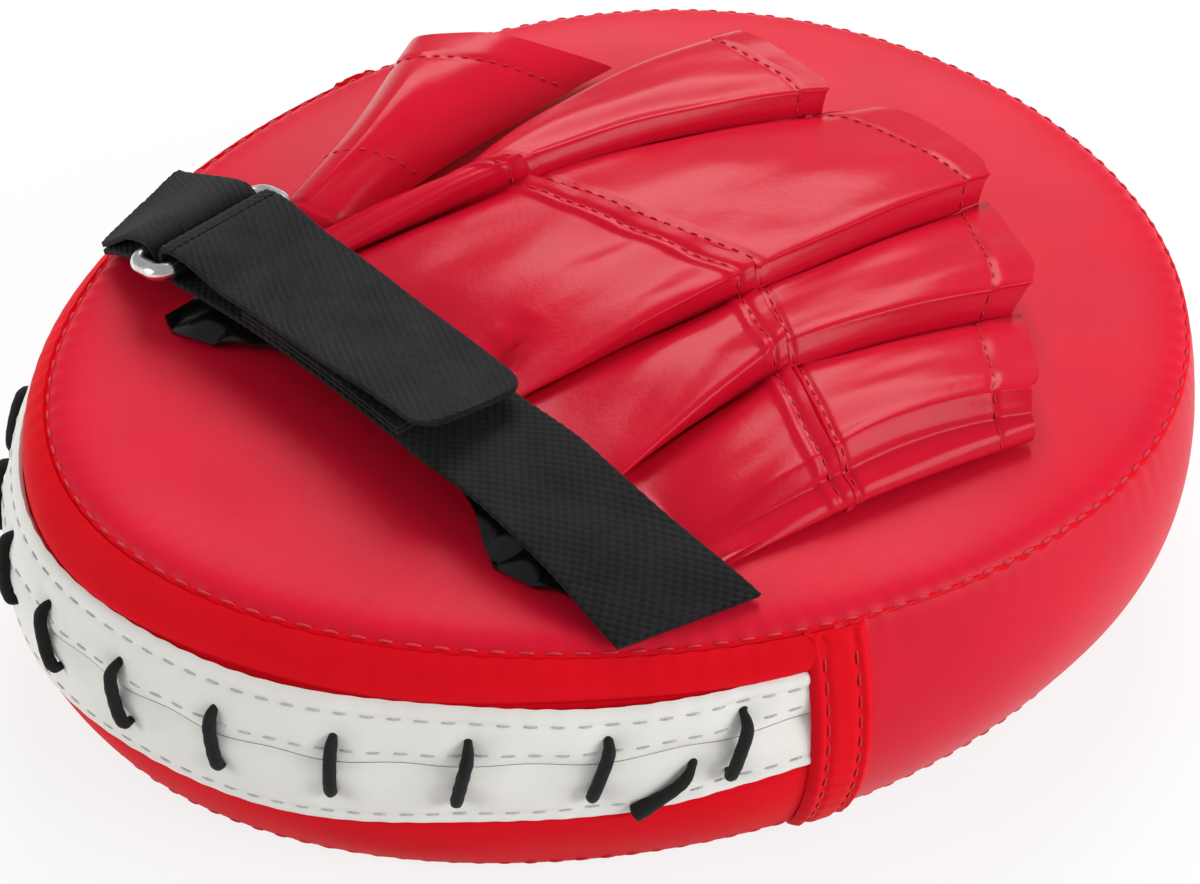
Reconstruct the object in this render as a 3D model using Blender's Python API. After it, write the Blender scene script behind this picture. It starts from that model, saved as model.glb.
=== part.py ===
"""Boxing focus mitt for one hand: a tapered foam pad in a sewn cover, laced at the wrist.

The pad lies on its strike face. +X points to the fingertips, +Y to the thumb side, +Z up.
"""
import math

import bmesh
import bpy
import numpy as np

# Pad cover: plan of the back panel's seam, wall and taper (metres)
SEAM_LENGTH = 0.2314
SEAM_WIDTH = 0.188
EGG = 0.135
WRIST_THICKNESS = 0.0598
FINGER_THICKNESS = 0.0493
WRIST_LEAN = 0.0072
FINGER_LEAN = -0.0035
WRIST_BULGE = 0.0100
FINGER_BULGE = 0.0062
BACK_CROWN = 0.0030
SKIN = 0.0015
CLEAR = 0.0003

# Foam layers, measured up from the strike face
STRIKE_FOAM_TOP = 0.0200
CORE_FOAM_TOP = 0.0380

# Laced opening round the wrist
LAP_ANGLE = math.radians(98.0)
LAP_WIDTH = 0.0090
UPPER_BAND_WRIST = 0.0097
UPPER_BAND_LAP = 0.0072
LOWER_BAND_WRIST = 0.0220
LOWER_BAND_LAP = 0.0290
SLIT_SHARE = 0.545
LACE_DIAMETER = 0.0032
LACE_HOLE = 0.0058
LACE_STITCHES = 14
LACE_FIRST = math.radians(108.0)
LACE_PITCH = math.radians(11.06)
LACE_ABOVE = 0.0046
LACE_BELOW = 0.0070
LACE_SLANT = 0.0014
LACE_TAIL_BACK = math.radians(4.6)
LACE_TAIL_HOLE = 0.0068
LACE_TAIL_DROP = 0.0110

# Wrist strap: webbing, wire ring and hook-and-loop flap
ANCHOR_ANGLE = math.radians(132.0)
STRAP_END_ANGLE = math.radians(-110.0)
STRAP_END_INSET = 0.0030
STRAP_WIDTH = 0.0250
WEBBING = 0.0016
STRAP_RISE = 0.0100
STRAP_END_GAP = 0.0009
RING_PLACE = 0.0310
RING_WIRE = 0.0035
RING_SIDE_ROOM = 0.0010
RING_CORNER = 0.0028
FOLD_ROOM = 0.0012
FOLD_GAP = 0.0006
ANCHOR_SKEW = 0.36
FLAP_AHEAD = 0.0015
FLAP_SETTLE = 0.0160
FLAP_LENGTH = 0.0690
PATCH = 0.0009
PATCH_START = 0.0200
PATCH_LENGTH = 0.0420

# Hand cover: black cuff arch, back of hand and the stalls (plan points from the seam's centre)
CUFF_START = 0.0360
CUFF_END_INSET = 0.0140
CUFF_WIDTH = 0.0150
CUFF_FLARE = 0.0060
CUFF_GAP = 0.0017
COVER = 0.0014
VALLEY_GAP = 0.0008
KNUCKLE_GAP = 0.0003
CUFF_VALLEY = 0.045
CUFF_DIP = 0.0020
CUFF_EASE = 1.4
STALL_ROWS = 9

# Lines of the stalls at knuckle, halfway and tip: plan from the seam's centre and height over the panel
INDEX_FOOT = np.array([(-0.022, 0.037, 0.0), (0.020, 0.051, 0.0), (0.060, 0.0535, 0.0)])
INDEX_EDGE = np.array([(-0.0195, 0.032, 0.010), (0.020, 0.044, 0.012), (0.058, 0.047, 0.0125)])
INDEX_RIDGE = np.array([(-0.012, 0.027, 0.012), (0.028, 0.027, 0.0125), (0.065, 0.021, 0.011)])
INDEX_SEAM = np.array([(-0.0115, 0.0245, 0.009), (0.028, 0.024, 0.0), (0.063, 0.0195, 0.0)])
MIDDLE_RIDGE = np.array([(0.010, -0.023, 0.012), (0.045, -0.020, 0.0125), (0.077, -0.018, 0.011)])
MIDDLE_SEAM = np.array([(0.009, -0.0255, 0.009), (0.044, -0.023, 0.0), (0.074, -0.020, 0.0)])
RING_RIDGE = np.array([(0.005, -0.042, 0.0105), (0.030, -0.044, 0.0115), (0.063, -0.049, 0.0105)])
RING_SEAM = np.array([(0.004, -0.045, 0.0075), (0.029, -0.0465, 0.0), (0.058, -0.0505, 0.0)])
LITTLE_RIDGE = np.array([(-0.002, -0.0665, 0.009), (0.020, -0.066, 0.0105), (0.0435, -0.072, 0.010)])
LITTLE_SEAM = np.array([(-0.0015, -0.0735, 0.0), (0.018, -0.0745, 0.0), (0.042, -0.0755, 0.0)])
MIDDLE_BULGE = 0.0055
# Each finger with its ridge, the seam on its right, the share of the cuff where its ridge starts, its tip bulge
FINGERS = (
    ("index_stall", INDEX_RIDGE, INDEX_SEAM, 0.14, 0.0),
    ("middle_stall", MIDDLE_RIDGE, MIDDLE_SEAM, 0.645, MIDDLE_BULGE),
    ("ring_stall", RING_RIDGE, RING_SEAM, 0.80, 0.0),
    ("little_stall", LITTLE_RIDGE, LITTLE_SEAM, 0.95, 0.0),
)
INDEX_EDGE_CUFF = 0.10
THUMB_FOOT = np.array([(-0.058, 0.048, 0.0), (-0.036, 0.061, 0.0), (-0.009, 0.085, 0.0)])
THUMB_EDGE = np.array([(-0.053, 0.038, 0.009), (-0.030, 0.053, 0.0125), (-0.004, 0.077, 0.013)])
THUMB_SEAM = np.array([(-0.047, 0.034, 0.0), (-0.012, 0.048, 0.0), (0.034, 0.063, 0.0)])

SIDE_STEPS = 44
WRIST_STEPS = 44
RING_STEPS = 72


def egg(angle, share=1.0):
    """Plan of the back seam: an ellipse whose width grows towards the fingers."""
    along = share * np.cos(angle)
    across = share * np.sin(angle)
    return np.stack([SEAM_LENGTH / 2 * along, SEAM_WIDTH / 2 * across * (1 + EGG * along)], -1)


def egg_normal(angle):
    """Outward unit normal of the seam in plan."""
    step = 1e-4
    tangent = egg(angle + step) - egg(angle - step)
    tangent = tangent / np.linalg.norm(tangent, axis=-1, keepdims=True)
    return np.stack([tangent[..., 1], -tangent[..., 0]], -1)


def pad_height(x):
    """Thickness of the pad at its seam, tapering from wrist to fingers."""
    return WRIST_THICKNESS + (FINGER_THICKNESS - WRIST_THICKNESS) * (x / SEAM_LENGTH + 0.5)


def panel_top(plan):
    """Height of the crowned back panel over a plan point."""
    along = plan[..., 0] / (SEAM_LENGTH / 2)
    across = plan[..., 1] / (SEAM_WIDTH / 2 * (1 + EGG * along))
    inside = np.clip(1 - along**2 - across**2, 0.0, 1.0)
    return pad_height(plan[..., 0]) + BACK_CROWN * inside


def wall(angle, height, out=0.0):
    """Point on the barrel-shaped wall: seam plan moved out by its lean and bulge at that height."""
    angle, height, out = np.broadcast_arrays(angle, height, out)
    seam = egg(angle)
    share = height / pad_height(seam[..., 0])
    wrist = (1 - np.cos(angle)) / 2
    lean = FINGER_LEAN + wrist * (WRIST_LEAN - FINGER_LEAN)
    bulge = FINGER_BULGE + wrist * (WRIST_BULGE - FINGER_BULGE)
    offset = lean * (1 - share) + bulge * 4 * share * (1 - share) + out
    plan = seam + egg_normal(angle) * offset[..., None]
    return np.concatenate([plan, height[..., None]], -1)


def lift_plan(plan, above):
    """Put plan points at a height above the back panel."""
    return np.concatenate([plan, (panel_top(plan) + above)[..., None]], -1)


def new_object(name, vertices, faces, colour, roughness, metallic=0.0):
    """Closed mesh object with outward faces and its own material."""
    mesh = bpy.data.meshes.new(name)
    mesh.from_pydata([tuple(point) for point in vertices], [], faces)
    form = bmesh.new()
    form.from_mesh(mesh)
    bmesh.ops.recalc_face_normals(form, faces=form.faces)
    form.to_mesh(mesh)
    form.free()
    mesh.shade_smooth()
    mesh.set_sharp_from_angle(angle=math.radians(40))
    piece = bpy.data.objects.new(name, mesh)
    bpy.context.collection.objects.link(piece)
    mesh.materials.append(new_material(name, colour, roughness, metallic))
    return piece


def new_material(name, colour, roughness, metallic):
    """Principled material in the colour of the photographed piece."""
    material = bpy.data.materials.new(name)
    material.use_nodes = True
    shader = material.node_tree.nodes["Principled BSDF"]
    shader.inputs["Base Color"].default_value = (*colour, 1.0)
    shader.inputs["Roughness"].default_value = roughness
    shader.inputs["Metallic"].default_value = metallic
    return material


def shell(name, outer, inner, *finish):
    """Solid between two open grids of points, closed along its four rims."""
    rows, columns = outer.shape[:2]
    count = rows * columns
    faces = []
    for r in range(rows - 1):
        for c in range(columns - 1):
            a = r * columns + c
            quad = (a, a + 1, a + columns + 1, a + columns)
            faces.append(quad)
            faces.append(tuple(count + i for i in reversed(quad)))
    rim = [(0, c) for c in range(columns)] + [(r, columns - 1) for r in range(1, rows)]
    rim += [(rows - 1, c) for c in reversed(range(columns - 1))] + [(r, 0) for r in reversed(range(1, rows - 1))]
    loop = [r * columns + c for r, c in rim]
    for a, b in zip(loop, loop[1:] + loop[:1]):
        faces.append((b, a, count + a, count + b))
    points = np.concatenate([outer.reshape(-1, 3), inner.reshape(-1, 3)])
    return new_object(name, points, faces, *finish)


def loft(name, rings, *finish):
    """Solid through a stack of closed rings, with a centre point at each end."""
    levels, steps = len(rings), len(rings[0])
    points = [p for ring in rings for p in ring] + [rings[0].mean(0), rings[-1].mean(0)]
    faces = []
    for c in range(steps):
        d = (c + 1) % steps
        for r in range(levels - 1):
            faces.append((r * steps + c, r * steps + d, (r + 1) * steps + d, (r + 1) * steps + c))
        faces.append((levels * steps, d, c))
        last = (levels - 1) * steps
        faces.append((levels * steps + 1, last + c, last + d))
    return new_object(name, points, faces, *finish)


def cut(piece, cutter):
    """Take a cutter's shape out of a piece."""
    cutter.hide_render = True
    cutter.display_type = "WIRE"
    tool = piece.modifiers.new("cut", "BOOLEAN")
    tool.operation = "DIFFERENCE"
    tool.solver = "EXACT"
    tool.object = cutter


# Finishes: colour, roughness and, on metal, the metallic value
RED_BACK = ((0.74, 0.05, 0.08), 0.38)
RED_BAND = ((0.58, 0.01, 0.02), 0.38)
RED_STALL = ((0.70, 0.03, 0.05), 0.34)
WHITE_LEATHER = ((0.80, 0.79, 0.75), 0.42)
BLACK_WEBBING = ((0.022, 0.022, 0.023), 0.85)
BLACK_GLOSS = ((0.012, 0.012, 0.013), 0.22)
FOAM = ((0.30, 0.31, 0.32), 0.90)
STEEL = ((0.72, 0.72, 0.74), 0.20, 1.0)

AROUND = np.linspace(0, 2 * math.pi, RING_STEPS, endpoint=False)
WRIST_ROOM = SKIN + LACE_DIAMETER + 4 * CLEAR


def wrist_weight(angle):
    """1 behind the laced strips, falling to 0 on the side band."""
    turn = np.abs(np.angle(np.exp(1j * (angle - math.pi))))
    share = np.clip((math.pi - LAP_ANGLE + 0.20 - turn) / 0.20, 0.0, 1.0)
    return share * share * (3 - 2 * share)


def strike_panel():
    edge = SKIN * 1.6
    rings = [
        np.concatenate([egg(AROUND, 0.5), np.zeros((RING_STEPS, 1))], -1),
        wall(AROUND, 0.0, -edge),
        wall(AROUND, SKIN * 0.45, -SKIN * 0.3),
        wall(AROUND, SKIN, 0.0),
        wall(AROUND, SKIN, -edge),
    ]
    loft("strike_panel", rings, *RED_BAND)


def back_panel():
    shares = (0.35, 0.62, 0.82, 0.94, 1.0)
    top = [lift_plan(egg(AROUND, s), 0.0) for s in shares]
    under = [lift_plan(egg(AROUND, s), -SKIN) for s in reversed(shares)]
    loft("back_panel", top + under, *RED_BACK)


def foam_layers():
    room = -(SKIN + CLEAR)
    setback = room - WRIST_ROOM * wrist_weight(AROUND)
    low, high = SKIN + CLEAR, STRIKE_FOAM_TOP
    loft("strike_foam", [wall(AROUND, z, room) for z in np.linspace(low, high, 4)], *FOAM)
    low, high = STRIKE_FOAM_TOP + CLEAR, CORE_FOAM_TOP
    loft("core_foam", [wall(AROUND, z, setback) for z in np.linspace(low, high, 3)], *FOAM)
    rings = [wall(AROUND, CORE_FOAM_TOP + CLEAR, setback)]
    brim = wall(AROUND, pad_height(egg(AROUND)[:, 0]) - SKIN - CLEAR, setback)[:, :2]
    under = -(SKIN + 1.5 * CLEAR)
    rings += [lift_plan(brim, under)]
    rings += [lift_plan(egg(AROUND, s), under) for s in (0.80, 0.60, 0.34)]
    loft("back_foam", rings, *FOAM)


def strip_levels(angle):
    """Heights of the edges of the wrist strips: base, lower band, slit, white top, seam."""
    turn = np.abs(np.angle(np.exp(1j * (angle - math.pi)))) / (math.pi - LAP_ANGLE)
    seam = pad_height(egg(angle)[..., 0])
    low = LOWER_BAND_WRIST + (LOWER_BAND_LAP - LOWER_BAND_WRIST) * turn**2
    high = seam - UPPER_BAND_WRIST + (UPPER_BAND_WRIST - UPPER_BAND_LAP) * turn**2
    slit = low + SLIT_SHARE * (high - low)
    return SKIN + CLEAR + 0 * low, low, slit, high, seam - SKIN - CLEAR


def band(name, angles, low, high, rows, *finish):
    """Strip of the wall between two heights, one skin thick."""
    share = np.linspace(0, 1, rows)[:, None]
    height = low + (high - low) * share
    turn = angles + 0 * share
    return shell(name, wall(turn, height), wall(turn, height, -SKIN), *finish)


def wall_strips():
    half_gap = CLEAR / 2
    reach = LAP_ANGLE - CLEAR / SEAM_WIDTH
    front = np.linspace(-reach, reach, SIDE_STEPS + 1)
    levels = strip_levels(front)
    band("side_band", front, levels[0], levels[4], 7, *RED_BACK)
    reach = LAP_ANGLE + CLEAR / SEAM_WIDTH
    back = np.linspace(reach, 2 * math.pi - reach, WRIST_STEPS + 1)
    base, low, slit, high, seam = strip_levels(back)
    band("wrist_band_lower", back, base, low - half_gap, 4, *RED_BAND)
    lower = band("lace_strip_lower", back, low + half_gap, slit - half_gap, 3, *WHITE_LEATHER)
    upper = band("lace_strip_upper", back, slit + half_gap, high - half_gap, 3, *WHITE_LEATHER)
    band("wrist_band_upper", back, high + half_gap, seam, 3, *RED_BAND)
    half_slant = arc_angle(LACE_SLANT) / 2
    stitches = stitch_angles()
    cut(upper, hole_cutter("upper_holes", stitches + half_slant, LACE_ABOVE + 0 * stitches))
    lower_angles = np.append(stitches - half_slant, tail_angle())
    lower_heights = np.append(-LACE_BELOW + 0 * stitches, -LACE_TAIL_HOLE)
    cut(lower, hole_cutter("lower_holes", lower_angles, lower_heights))


def seam_laps():
    half = LAP_WIDTH / SEAM_WIDTH
    for name, middle in (("seam_lap_near", -LAP_ANGLE), ("seam_lap_far", LAP_ANGLE)):
        angles = np.linspace(middle - half, middle + half, 5)
        levels = strip_levels(angles)
        share = np.linspace(0, 1, 7)[:, None]
        height = levels[0] + (levels[4] - levels[0]) * share
        turn = angles + 0 * share
        shell(name, wall(turn, height, CLEAR + SKIN), wall(turn, height, CLEAR), *RED_BAND)


def stitch_angles():
    return LACE_FIRST + LACE_PITCH * np.arange(LACE_STITCHES)


def tail_angle():
    """Where the free end of the lace comes out again, just before the last stitch."""
    return stitch_angles()[-1] - LACE_TAIL_BACK


def arc_angle(length):
    """Turn round the wrist that covers a length of wall."""
    return length / (SEAM_WIDTH / 2)


def hole_cutter(name, angles, above_slit):
    """Row of round punches through the wall, each at its height above the slit."""
    sides = 8
    turn = np.linspace(0, 2 * math.pi, sides, endpoint=False)
    points, faces = [], []
    for angle, height in zip(angles, strip_levels(angles)[2] + above_slit):
        middle = wall(angle, height)
        out = np.append(egg_normal(angle), 0.0)
        along, up = np.array([-out[1], out[0], 0.0]), np.array([0.0, 0.0, 1.0])
        circle = np.outer(np.cos(turn), along) + np.outer(np.sin(turn), up)
        start = len(points)
        for depth in (-3 * SKIN, 2 * SKIN):
            points.extend(middle + circle * LACE_HOLE / 2 + out * depth)
        for c in range(sides):
            d = (c + 1) % sides
            faces.append((start + c, start + d, start + sides + d, start + sides + c))
        faces.append(tuple(start + c for c in reversed(range(sides))))
        faces.append(tuple(start + sides + c for c in range(sides)))
    return new_object(name, points, faces, *FOAM)


def smooth_route(points, per_span):
    """Catmull-Rom curve read at a few points in each span of a route."""
    padded = np.concatenate([[2 * points[0] - points[1]], points, [2 * points[-1] - points[-2]]])
    a, b, c, d = padded[:-3], padded[1:-2], padded[2:-1], padded[3:]
    t = np.linspace(0, 1, per_span, endpoint=False)[None, :, None]
    a, b, c, d = (v[:, None, :] for v in (a, b, c, d))
    curve = 0.5 * (2 * b + (c - a) * t + (2 * a - 5 * b + 4 * c - d) * t**2 + (3 * b - a - 3 * c + d) * t**3)
    return np.concatenate([curve.reshape(-1, points.shape[1]), points[-1:]])


def closure_lace():
    """One cord through all the holes: over the slit outside, slantwise up to the next pair inside."""
    front = LACE_DIAMETER / 2 + 1.6 * CLEAR
    behind = -(SKIN + LACE_DIAMETER / 2 + 1.6 * CLEAR)
    middle = -SKIN / 2
    slant = arc_angle(LACE_SLANT) / 2
    bend = LACE_DIAMETER * 0.45
    route = []
    for angle in stitch_angles():
        route += [
            (angle + slant, LACE_ABOVE - bend / 3, behind),
            (angle + slant, LACE_ABOVE, middle),
            (angle + slant, LACE_ABOVE - bend, front),
            (angle - slant, bend - LACE_BELOW, front),
            (angle - slant, -LACE_BELOW, middle),
            (angle - slant, bend / 3 - LACE_BELOW, behind),
            (angle + LACE_PITCH / 2, (LACE_ABOVE - LACE_BELOW) / 2, behind - CLEAR),
        ]
    tail = tail_angle()
    route[-1] = ((angle + tail) / 2, -(LACE_BELOW + LACE_TAIL_HOLE) / 2 - bend, behind - CLEAR)
    route += [
        (tail, bend / 3 - LACE_TAIL_HOLE, behind),
        (tail, -LACE_TAIL_HOLE, middle),
        (tail, -LACE_TAIL_HOLE - bend, front),
        (tail - LACE_TAIL_BACK * 0.7, -LACE_TAIL_HOLE - LACE_TAIL_DROP, front),
    ]
    path = smooth_route(np.array(route), 2)
    height = strip_levels(path[:, 0])[2] + path[:, 1]
    points = wall(path[:, 0], height, path[:, 2])
    curve = bpy.data.curves.new("closure_lace", "CURVE")
    curve.dimensions = "3D"
    curve.bevel_depth = LACE_DIAMETER / 2
    curve.bevel_resolution = 1
    curve.use_fill_caps = True
    spline = curve.splines.new("POLY")
    spline.points.add(len(points) - 1)
    spline.points.foreach_set("co", np.c_[points, np.ones(len(points))].ravel())
    piece = bpy.data.objects.new("closure_lace", curve)
    bpy.context.collection.objects.link(piece)
    curve.materials.append(new_material("closure_lace", *BLACK_WEBBING, 0.0))
    runs = points[:, None] - points[None]
    far = np.abs(np.subtract.outer(np.arange(len(points)), np.arange(len(points)))) > 5
    print("least gap of the lace to itself, mm:",
          round(1000 * (np.linalg.norm(runs, axis=-1)[far].min() - LACE_DIAMETER), 2))


# Strap frame: plan line from the thumb-side seam to the little-finger side
ANCHOR = egg(ANCHOR_ANGLE)
STRAP_END = egg(STRAP_END_ANGLE) - egg_normal(STRAP_END_ANGLE) * STRAP_END_INSET
STRAP_LENGTH = np.linalg.norm(STRAP_END - ANCHOR)
ALONG = (STRAP_END - ANCHOR) / STRAP_LENGTH
ACROSS = np.array([-ALONG[1], ALONG[0]])
HOLD_RADIUS = RING_WIRE / 2 + CLEAR + WEBBING / 2
FOLD_RADIUS = RING_WIRE / 2 + FOLD_ROOM + WEBBING / 2
RING_REACH = HOLD_RADIUS + FOLD_RADIUS + WEBBING + FOLD_GAP
PATCH_STEP = PATCH + CLEAR
FLAP_STACK = WEBBING + 2 * PATCH_STEP + CLEAR
CUFF_SPAN = STRAP_LENGTH - CUFF_END_INSET - CUFF_START


def strap_plan(along, across):
    along, across = np.broadcast_arrays(along, across)
    return ANCHOR + ALONG * along[..., None] + ACROSS * across[..., None]


def strap_lift(along):
    """Rise of the strap over the hand: half a sine wave."""
    return STRAP_RISE * np.sin(math.pi * np.clip(along / STRAP_LENGTH, 0, 1))


def strap_line(along):
    """Middle of the webbing, as distance along the strap and height."""
    along = np.asarray(along, float)
    height = panel_top(strap_plan(along, 0.0)) + STRAP_END_GAP + WEBBING / 2 + strap_lift(along)
    return np.stack([along, height], -1)


def ring_frame():
    """Middle of the ring's two bars, with the strap's direction and normal there."""
    step = 1e-4
    run = strap_line(RING_PLACE + step) - strap_line(RING_PLACE - step)
    run = run / np.linalg.norm(run)
    rise = np.array([-run[1], run[0]])
    right = strap_line(RING_PLACE) + rise * FOLD_RADIUS
    return right - run * RING_REACH, right, run, rise


def hermite(start, start_run, end, end_run, steps):
    """Smooth run between two points with given directions."""
    t = np.linspace(0, 1, steps)[:, None]
    a, b = 2 * t**3 - 3 * t**2 + 1, t**3 - 2 * t**2 + t
    c, d = 3 * t**2 - 2 * t**3, t**3 - t**2
    return a * start + b * start_run + c * end + d * end_run


def ribbon(name, path, thickness, skew=0.0, *finish):
    """Webbing of even thickness along a path in the strap's upright plane; skew cuts its start aslant."""
    run = np.gradient(path, axis=0)
    run = run / np.linalg.norm(run, axis=-1, keepdims=True)
    normal = np.stack([-run[:, 1], run[:, 0]], -1) * thickness / 2
    across = np.linspace(-STRAP_WIDTH / 2, STRAP_WIDTH / 2, 3)
    faces = []
    for edge in (path + normal, path - normal):
        along = edge[:, :1] - skew * across * np.clip(1 - 2 * edge[:, :1] / RING_PLACE, 0, 1)
        plan = strap_plan(along, across + 0 * along)
        height = edge[:, 1:] + 0 * along
        faces.append(np.concatenate([plan, height[..., None]], -1))
    return shell(name, *faces, *finish)


def anchor_webbing():
    """Short doubled webbing from the seam round the ring's outer bar."""
    left, _, run, rise = ring_frame()
    base = strap_line(WEBBING)
    top = base + np.array([0.0, WEBBING + CLEAR])
    climb = left - base
    under = hermite(base, climb, left - rise * HOLD_RADIUS, run * RING_PLACE * 0.6, 8)
    over = hermite(left + rise * HOLD_RADIUS, -run * RING_PLACE * 0.6, top, -climb, 8)
    turn = np.linspace(0, math.pi, 9)[1:-1, None]
    bend = left + HOLD_RADIUS * (run * np.sin(turn) - rise * np.cos(turn))
    ribbon("anchor_webbing", np.concatenate([under, bend, over]), WEBBING, ANCHOR_SKEW, *BLACK_WEBBING)


def flap_start():
    _, right, run, rise = ring_frame()
    return right + rise * FOLD_RADIUS + run * FLAP_AHEAD


def strap_base():
    """Webbing from the seam, over the hand and back round the ring's inner bar."""
    _, right, run, rise = ring_frame()
    body = strap_line(np.linspace(STRAP_LENGTH, RING_PLACE, 26))
    turn = np.linspace(0, math.pi, 10)[1:, None]
    bend = right - FOLD_RADIUS * (run * np.sin(turn) + rise * np.cos(turn))
    path = np.concatenate([body, bend, [flap_start()]])
    ribbon("strap_base", path, WEBBING, 0.0, *BLACK_WEBBING)


def raised_line(start, length, above, steps):
    """Stretch of the strap line lifted by a height."""
    along = np.linspace(RING_PLACE + start, RING_PLACE + start + length, steps)
    return strap_line(along) + np.array([0.0, above])


def strap_flap():
    """Free end of the webbing, folded back over itself and held by its hook patch."""
    _, _, run, _ = ring_frame()
    start = flap_start() + run * CLEAR
    rest = raised_line(FLAP_SETTLE, FLAP_LENGTH - FLAP_SETTLE, FLAP_STACK, 14)
    settle = hermite(start, run * FLAP_SETTLE, rest[0], (rest[1] - rest[0]) * 3, 7)[:-1]
    flap = ribbon("strap_flap", np.concatenate([settle, rest]), WEBBING, 0.0, *BLACK_WEBBING)
    loop_above = WEBBING / 2 + CLEAR + PATCH / 2
    loop = raised_line(PATCH_START, PATCH_LENGTH, loop_above, 12)
    ribbon("strap_loop_patch", loop, PATCH, 0.0, *BLACK_WEBBING)
    hook = raised_line(PATCH_START, PATCH_LENGTH, loop_above + PATCH_STEP, 12)
    patch = ribbon("strap_hook_patch", hook, PATCH, 0.0, *BLACK_WEBBING)
    return flap, patch


def flap_axis():
    """The flap turns about the upper edge of its first end."""
    _, _, run, rise = ring_frame()
    point = flap_start() + run * CLEAR + rise * WEBBING / 2
    return np.append(strap_plan(point[0], 0.0), point[1])


def ring_axis():
    """The ring swings on its outer bar inside the anchor's loop."""
    left = ring_frame()[0]
    return np.append(strap_plan(left[0], 0.0), left[1])


def buckle_ring():
    """Wire bent to a rectangle with round corners and swept by a circle."""
    left, right, run, rise = ring_frame()
    half_long, half_wide = RING_REACH / 2, STRAP_WIDTH / 2 + RING_SIDE_ROOM + RING_WIRE / 2
    path, outward = [], []
    for quarter in range(4):
        sign_run = (1, -1, -1, 1)[quarter]
        sign_wide = (1, 1, -1, -1)[quarter]
        for turn in np.linspace(0, math.pi / 2, 5) + quarter * math.pi / 2:
            way = np.array([math.cos(turn), math.sin(turn)])
            corner = np.array([sign_run * (half_long - RING_CORNER), sign_wide * (half_wide - RING_CORNER)])
            path.append(corner + way * RING_CORNER)
            outward.append(way)
    path, outward = np.array(path), np.array(outward)
    sides = np.linspace(0, 2 * math.pi, 10, endpoint=False)
    flat = path[:, None] + outward[:, None] * (np.cos(sides)[:, None] * RING_WIRE / 2)
    off_plane = np.sin(sides) * RING_WIRE / 2
    middle = (left + right) / 2
    upright = middle + flat[..., :1] * run + (off_plane[:, None] * rise)[None]
    points = np.concatenate([strap_plan(upright[..., 0], flat[..., 1]), upright[..., 1:]], -1)
    rows, columns = points.shape[:2]
    faces = []
    for r in range(rows):
        for c in range(columns):
            s, d = (r + 1) % rows, (c + 1) % columns
            faces.append((r * columns + c, r * columns + d, s * columns + d, s * columns + c))
    return new_object("buckle_ring", points.reshape(-1, 3), faces, *STEEL)


def cuff_rise(share):
    """Height of the cuff arch under the strap: steep at its two feet, flat on top."""
    along = CUFF_START + CUFF_SPAN * share
    room = strap_lift(along) + STRAP_END_GAP - CUFF_GAP - CLEAR - COVER
    return room * (1 - np.abs(2 * share - 1)**3)


def cuff_lining():
    share = np.linspace(0, 1, 25)
    along = CUFF_START + CUFF_SPAN * share
    depth = np.linspace(0, 1, 4)[:, None]
    edge = CUFF_WIDTH + CUFF_FLARE * np.abs(2 * share - 1)**4
    plan = strap_plan(along + 0 * depth, -CLEAR / 2 - edge * depth)
    rise = cuff_rise(share) + 0 * depth
    shell("cuff_lining", lift_plan(plan, CLEAR + COVER + rise), lift_plan(plan, CLEAR + rise), *BLACK_GLOSS)


def along_line(stations, share):
    """Parabola through a line's three stations."""
    first, half, last = stations[:, None]
    t = share[:, None]
    return first * (1 - t) * (1 - 2 * t) + half * 4 * t * (1 - t) + last * t * (2 * t - 1)


def between(start, end, across, rise):
    """Line at a share of the way across two lines and a share of the height between them."""
    share = np.array([across, across, rise])
    return start + (end - start) * share


def pleat(left, ridge, right):
    """Section lines of a pleat: tucked up from its left seam, a slope to the ridge, a fold to the right seam."""
    slope = [between(left, ridge, across, rise) for across, rise in ((0.06, 0.50), (0.38, 0.68), (0.75, 0.90))]
    return [left, *slope, ridge, between(right, ridge, 0.4, 0.6), right]


def box_section(foot, edge, ridge, right):
    """Section lines of the index stall: a steep side, a flat top and a fold at its ridge."""
    return [foot, between(foot, edge, 0.45, 0.66), edge, between(edge, ridge, 0.5, 0.5), ridge,
            between(right, ridge, 0.4, 0.6), right]


def slope_section(foot, edge, seam):
    """Section lines of the thumb stall: a steep side, an edge and one face that slopes to the panel."""
    face = [between(seam, edge, across, rise) for across, rise in ((0.72, 0.90), (0.42, 0.62), (0.16, 0.26))]
    return [foot, between(foot, edge, 0.42, 0.68), edge, *face, seam]


def inset(lines):
    """The same lines moved in by the cover's thickness: outer ones sideways, raised ones down too."""
    across = lines[-1][:, :2] - lines[0][:, :2]
    across = across / np.linalg.norm(across, axis=-1, keepdims=True) * COVER
    moved = []
    for line, way in zip(lines, (1, *(0,) * (len(lines) - 2), -1)):
        inner = line.copy()
        inner[:, :2] += way * across
        inner[:, 2] -= 0.0 if way else COVER
        moved.append(inner)
    return moved


def cover_grid(lines):
    """Smooth grid through section lines, lifted on to the back panel; rows run from the first to the last end."""
    stack = np.stack(lines)
    curve = smooth_route(stack.reshape(len(lines), -1), 2)
    grid = curve.reshape(len(curve), -1, 3).transpose(1, 0, 2)
    return lift_plan(grid[..., :2], CLEAR + np.maximum(grid[..., 2], 0.0))


def stall(name, section, lines, bulge=0.0):
    """Open tunnel for one finger: a section between foot lines, one cover thick, its tip bulged ahead."""
    outer = section(*lines)
    inner = section(*inset(lines))
    run = np.linspace(0, 1, STALL_ROWS)
    for sheet in (outer, inner):
        for line, share in zip(sheet, np.sin(np.linspace(0, math.pi, len(sheet)))):
            line[:, 0] += bulge * share * run**3
    shell(name, cover_grid(outer), cover_grid(inner), *RED_STALL)


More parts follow.
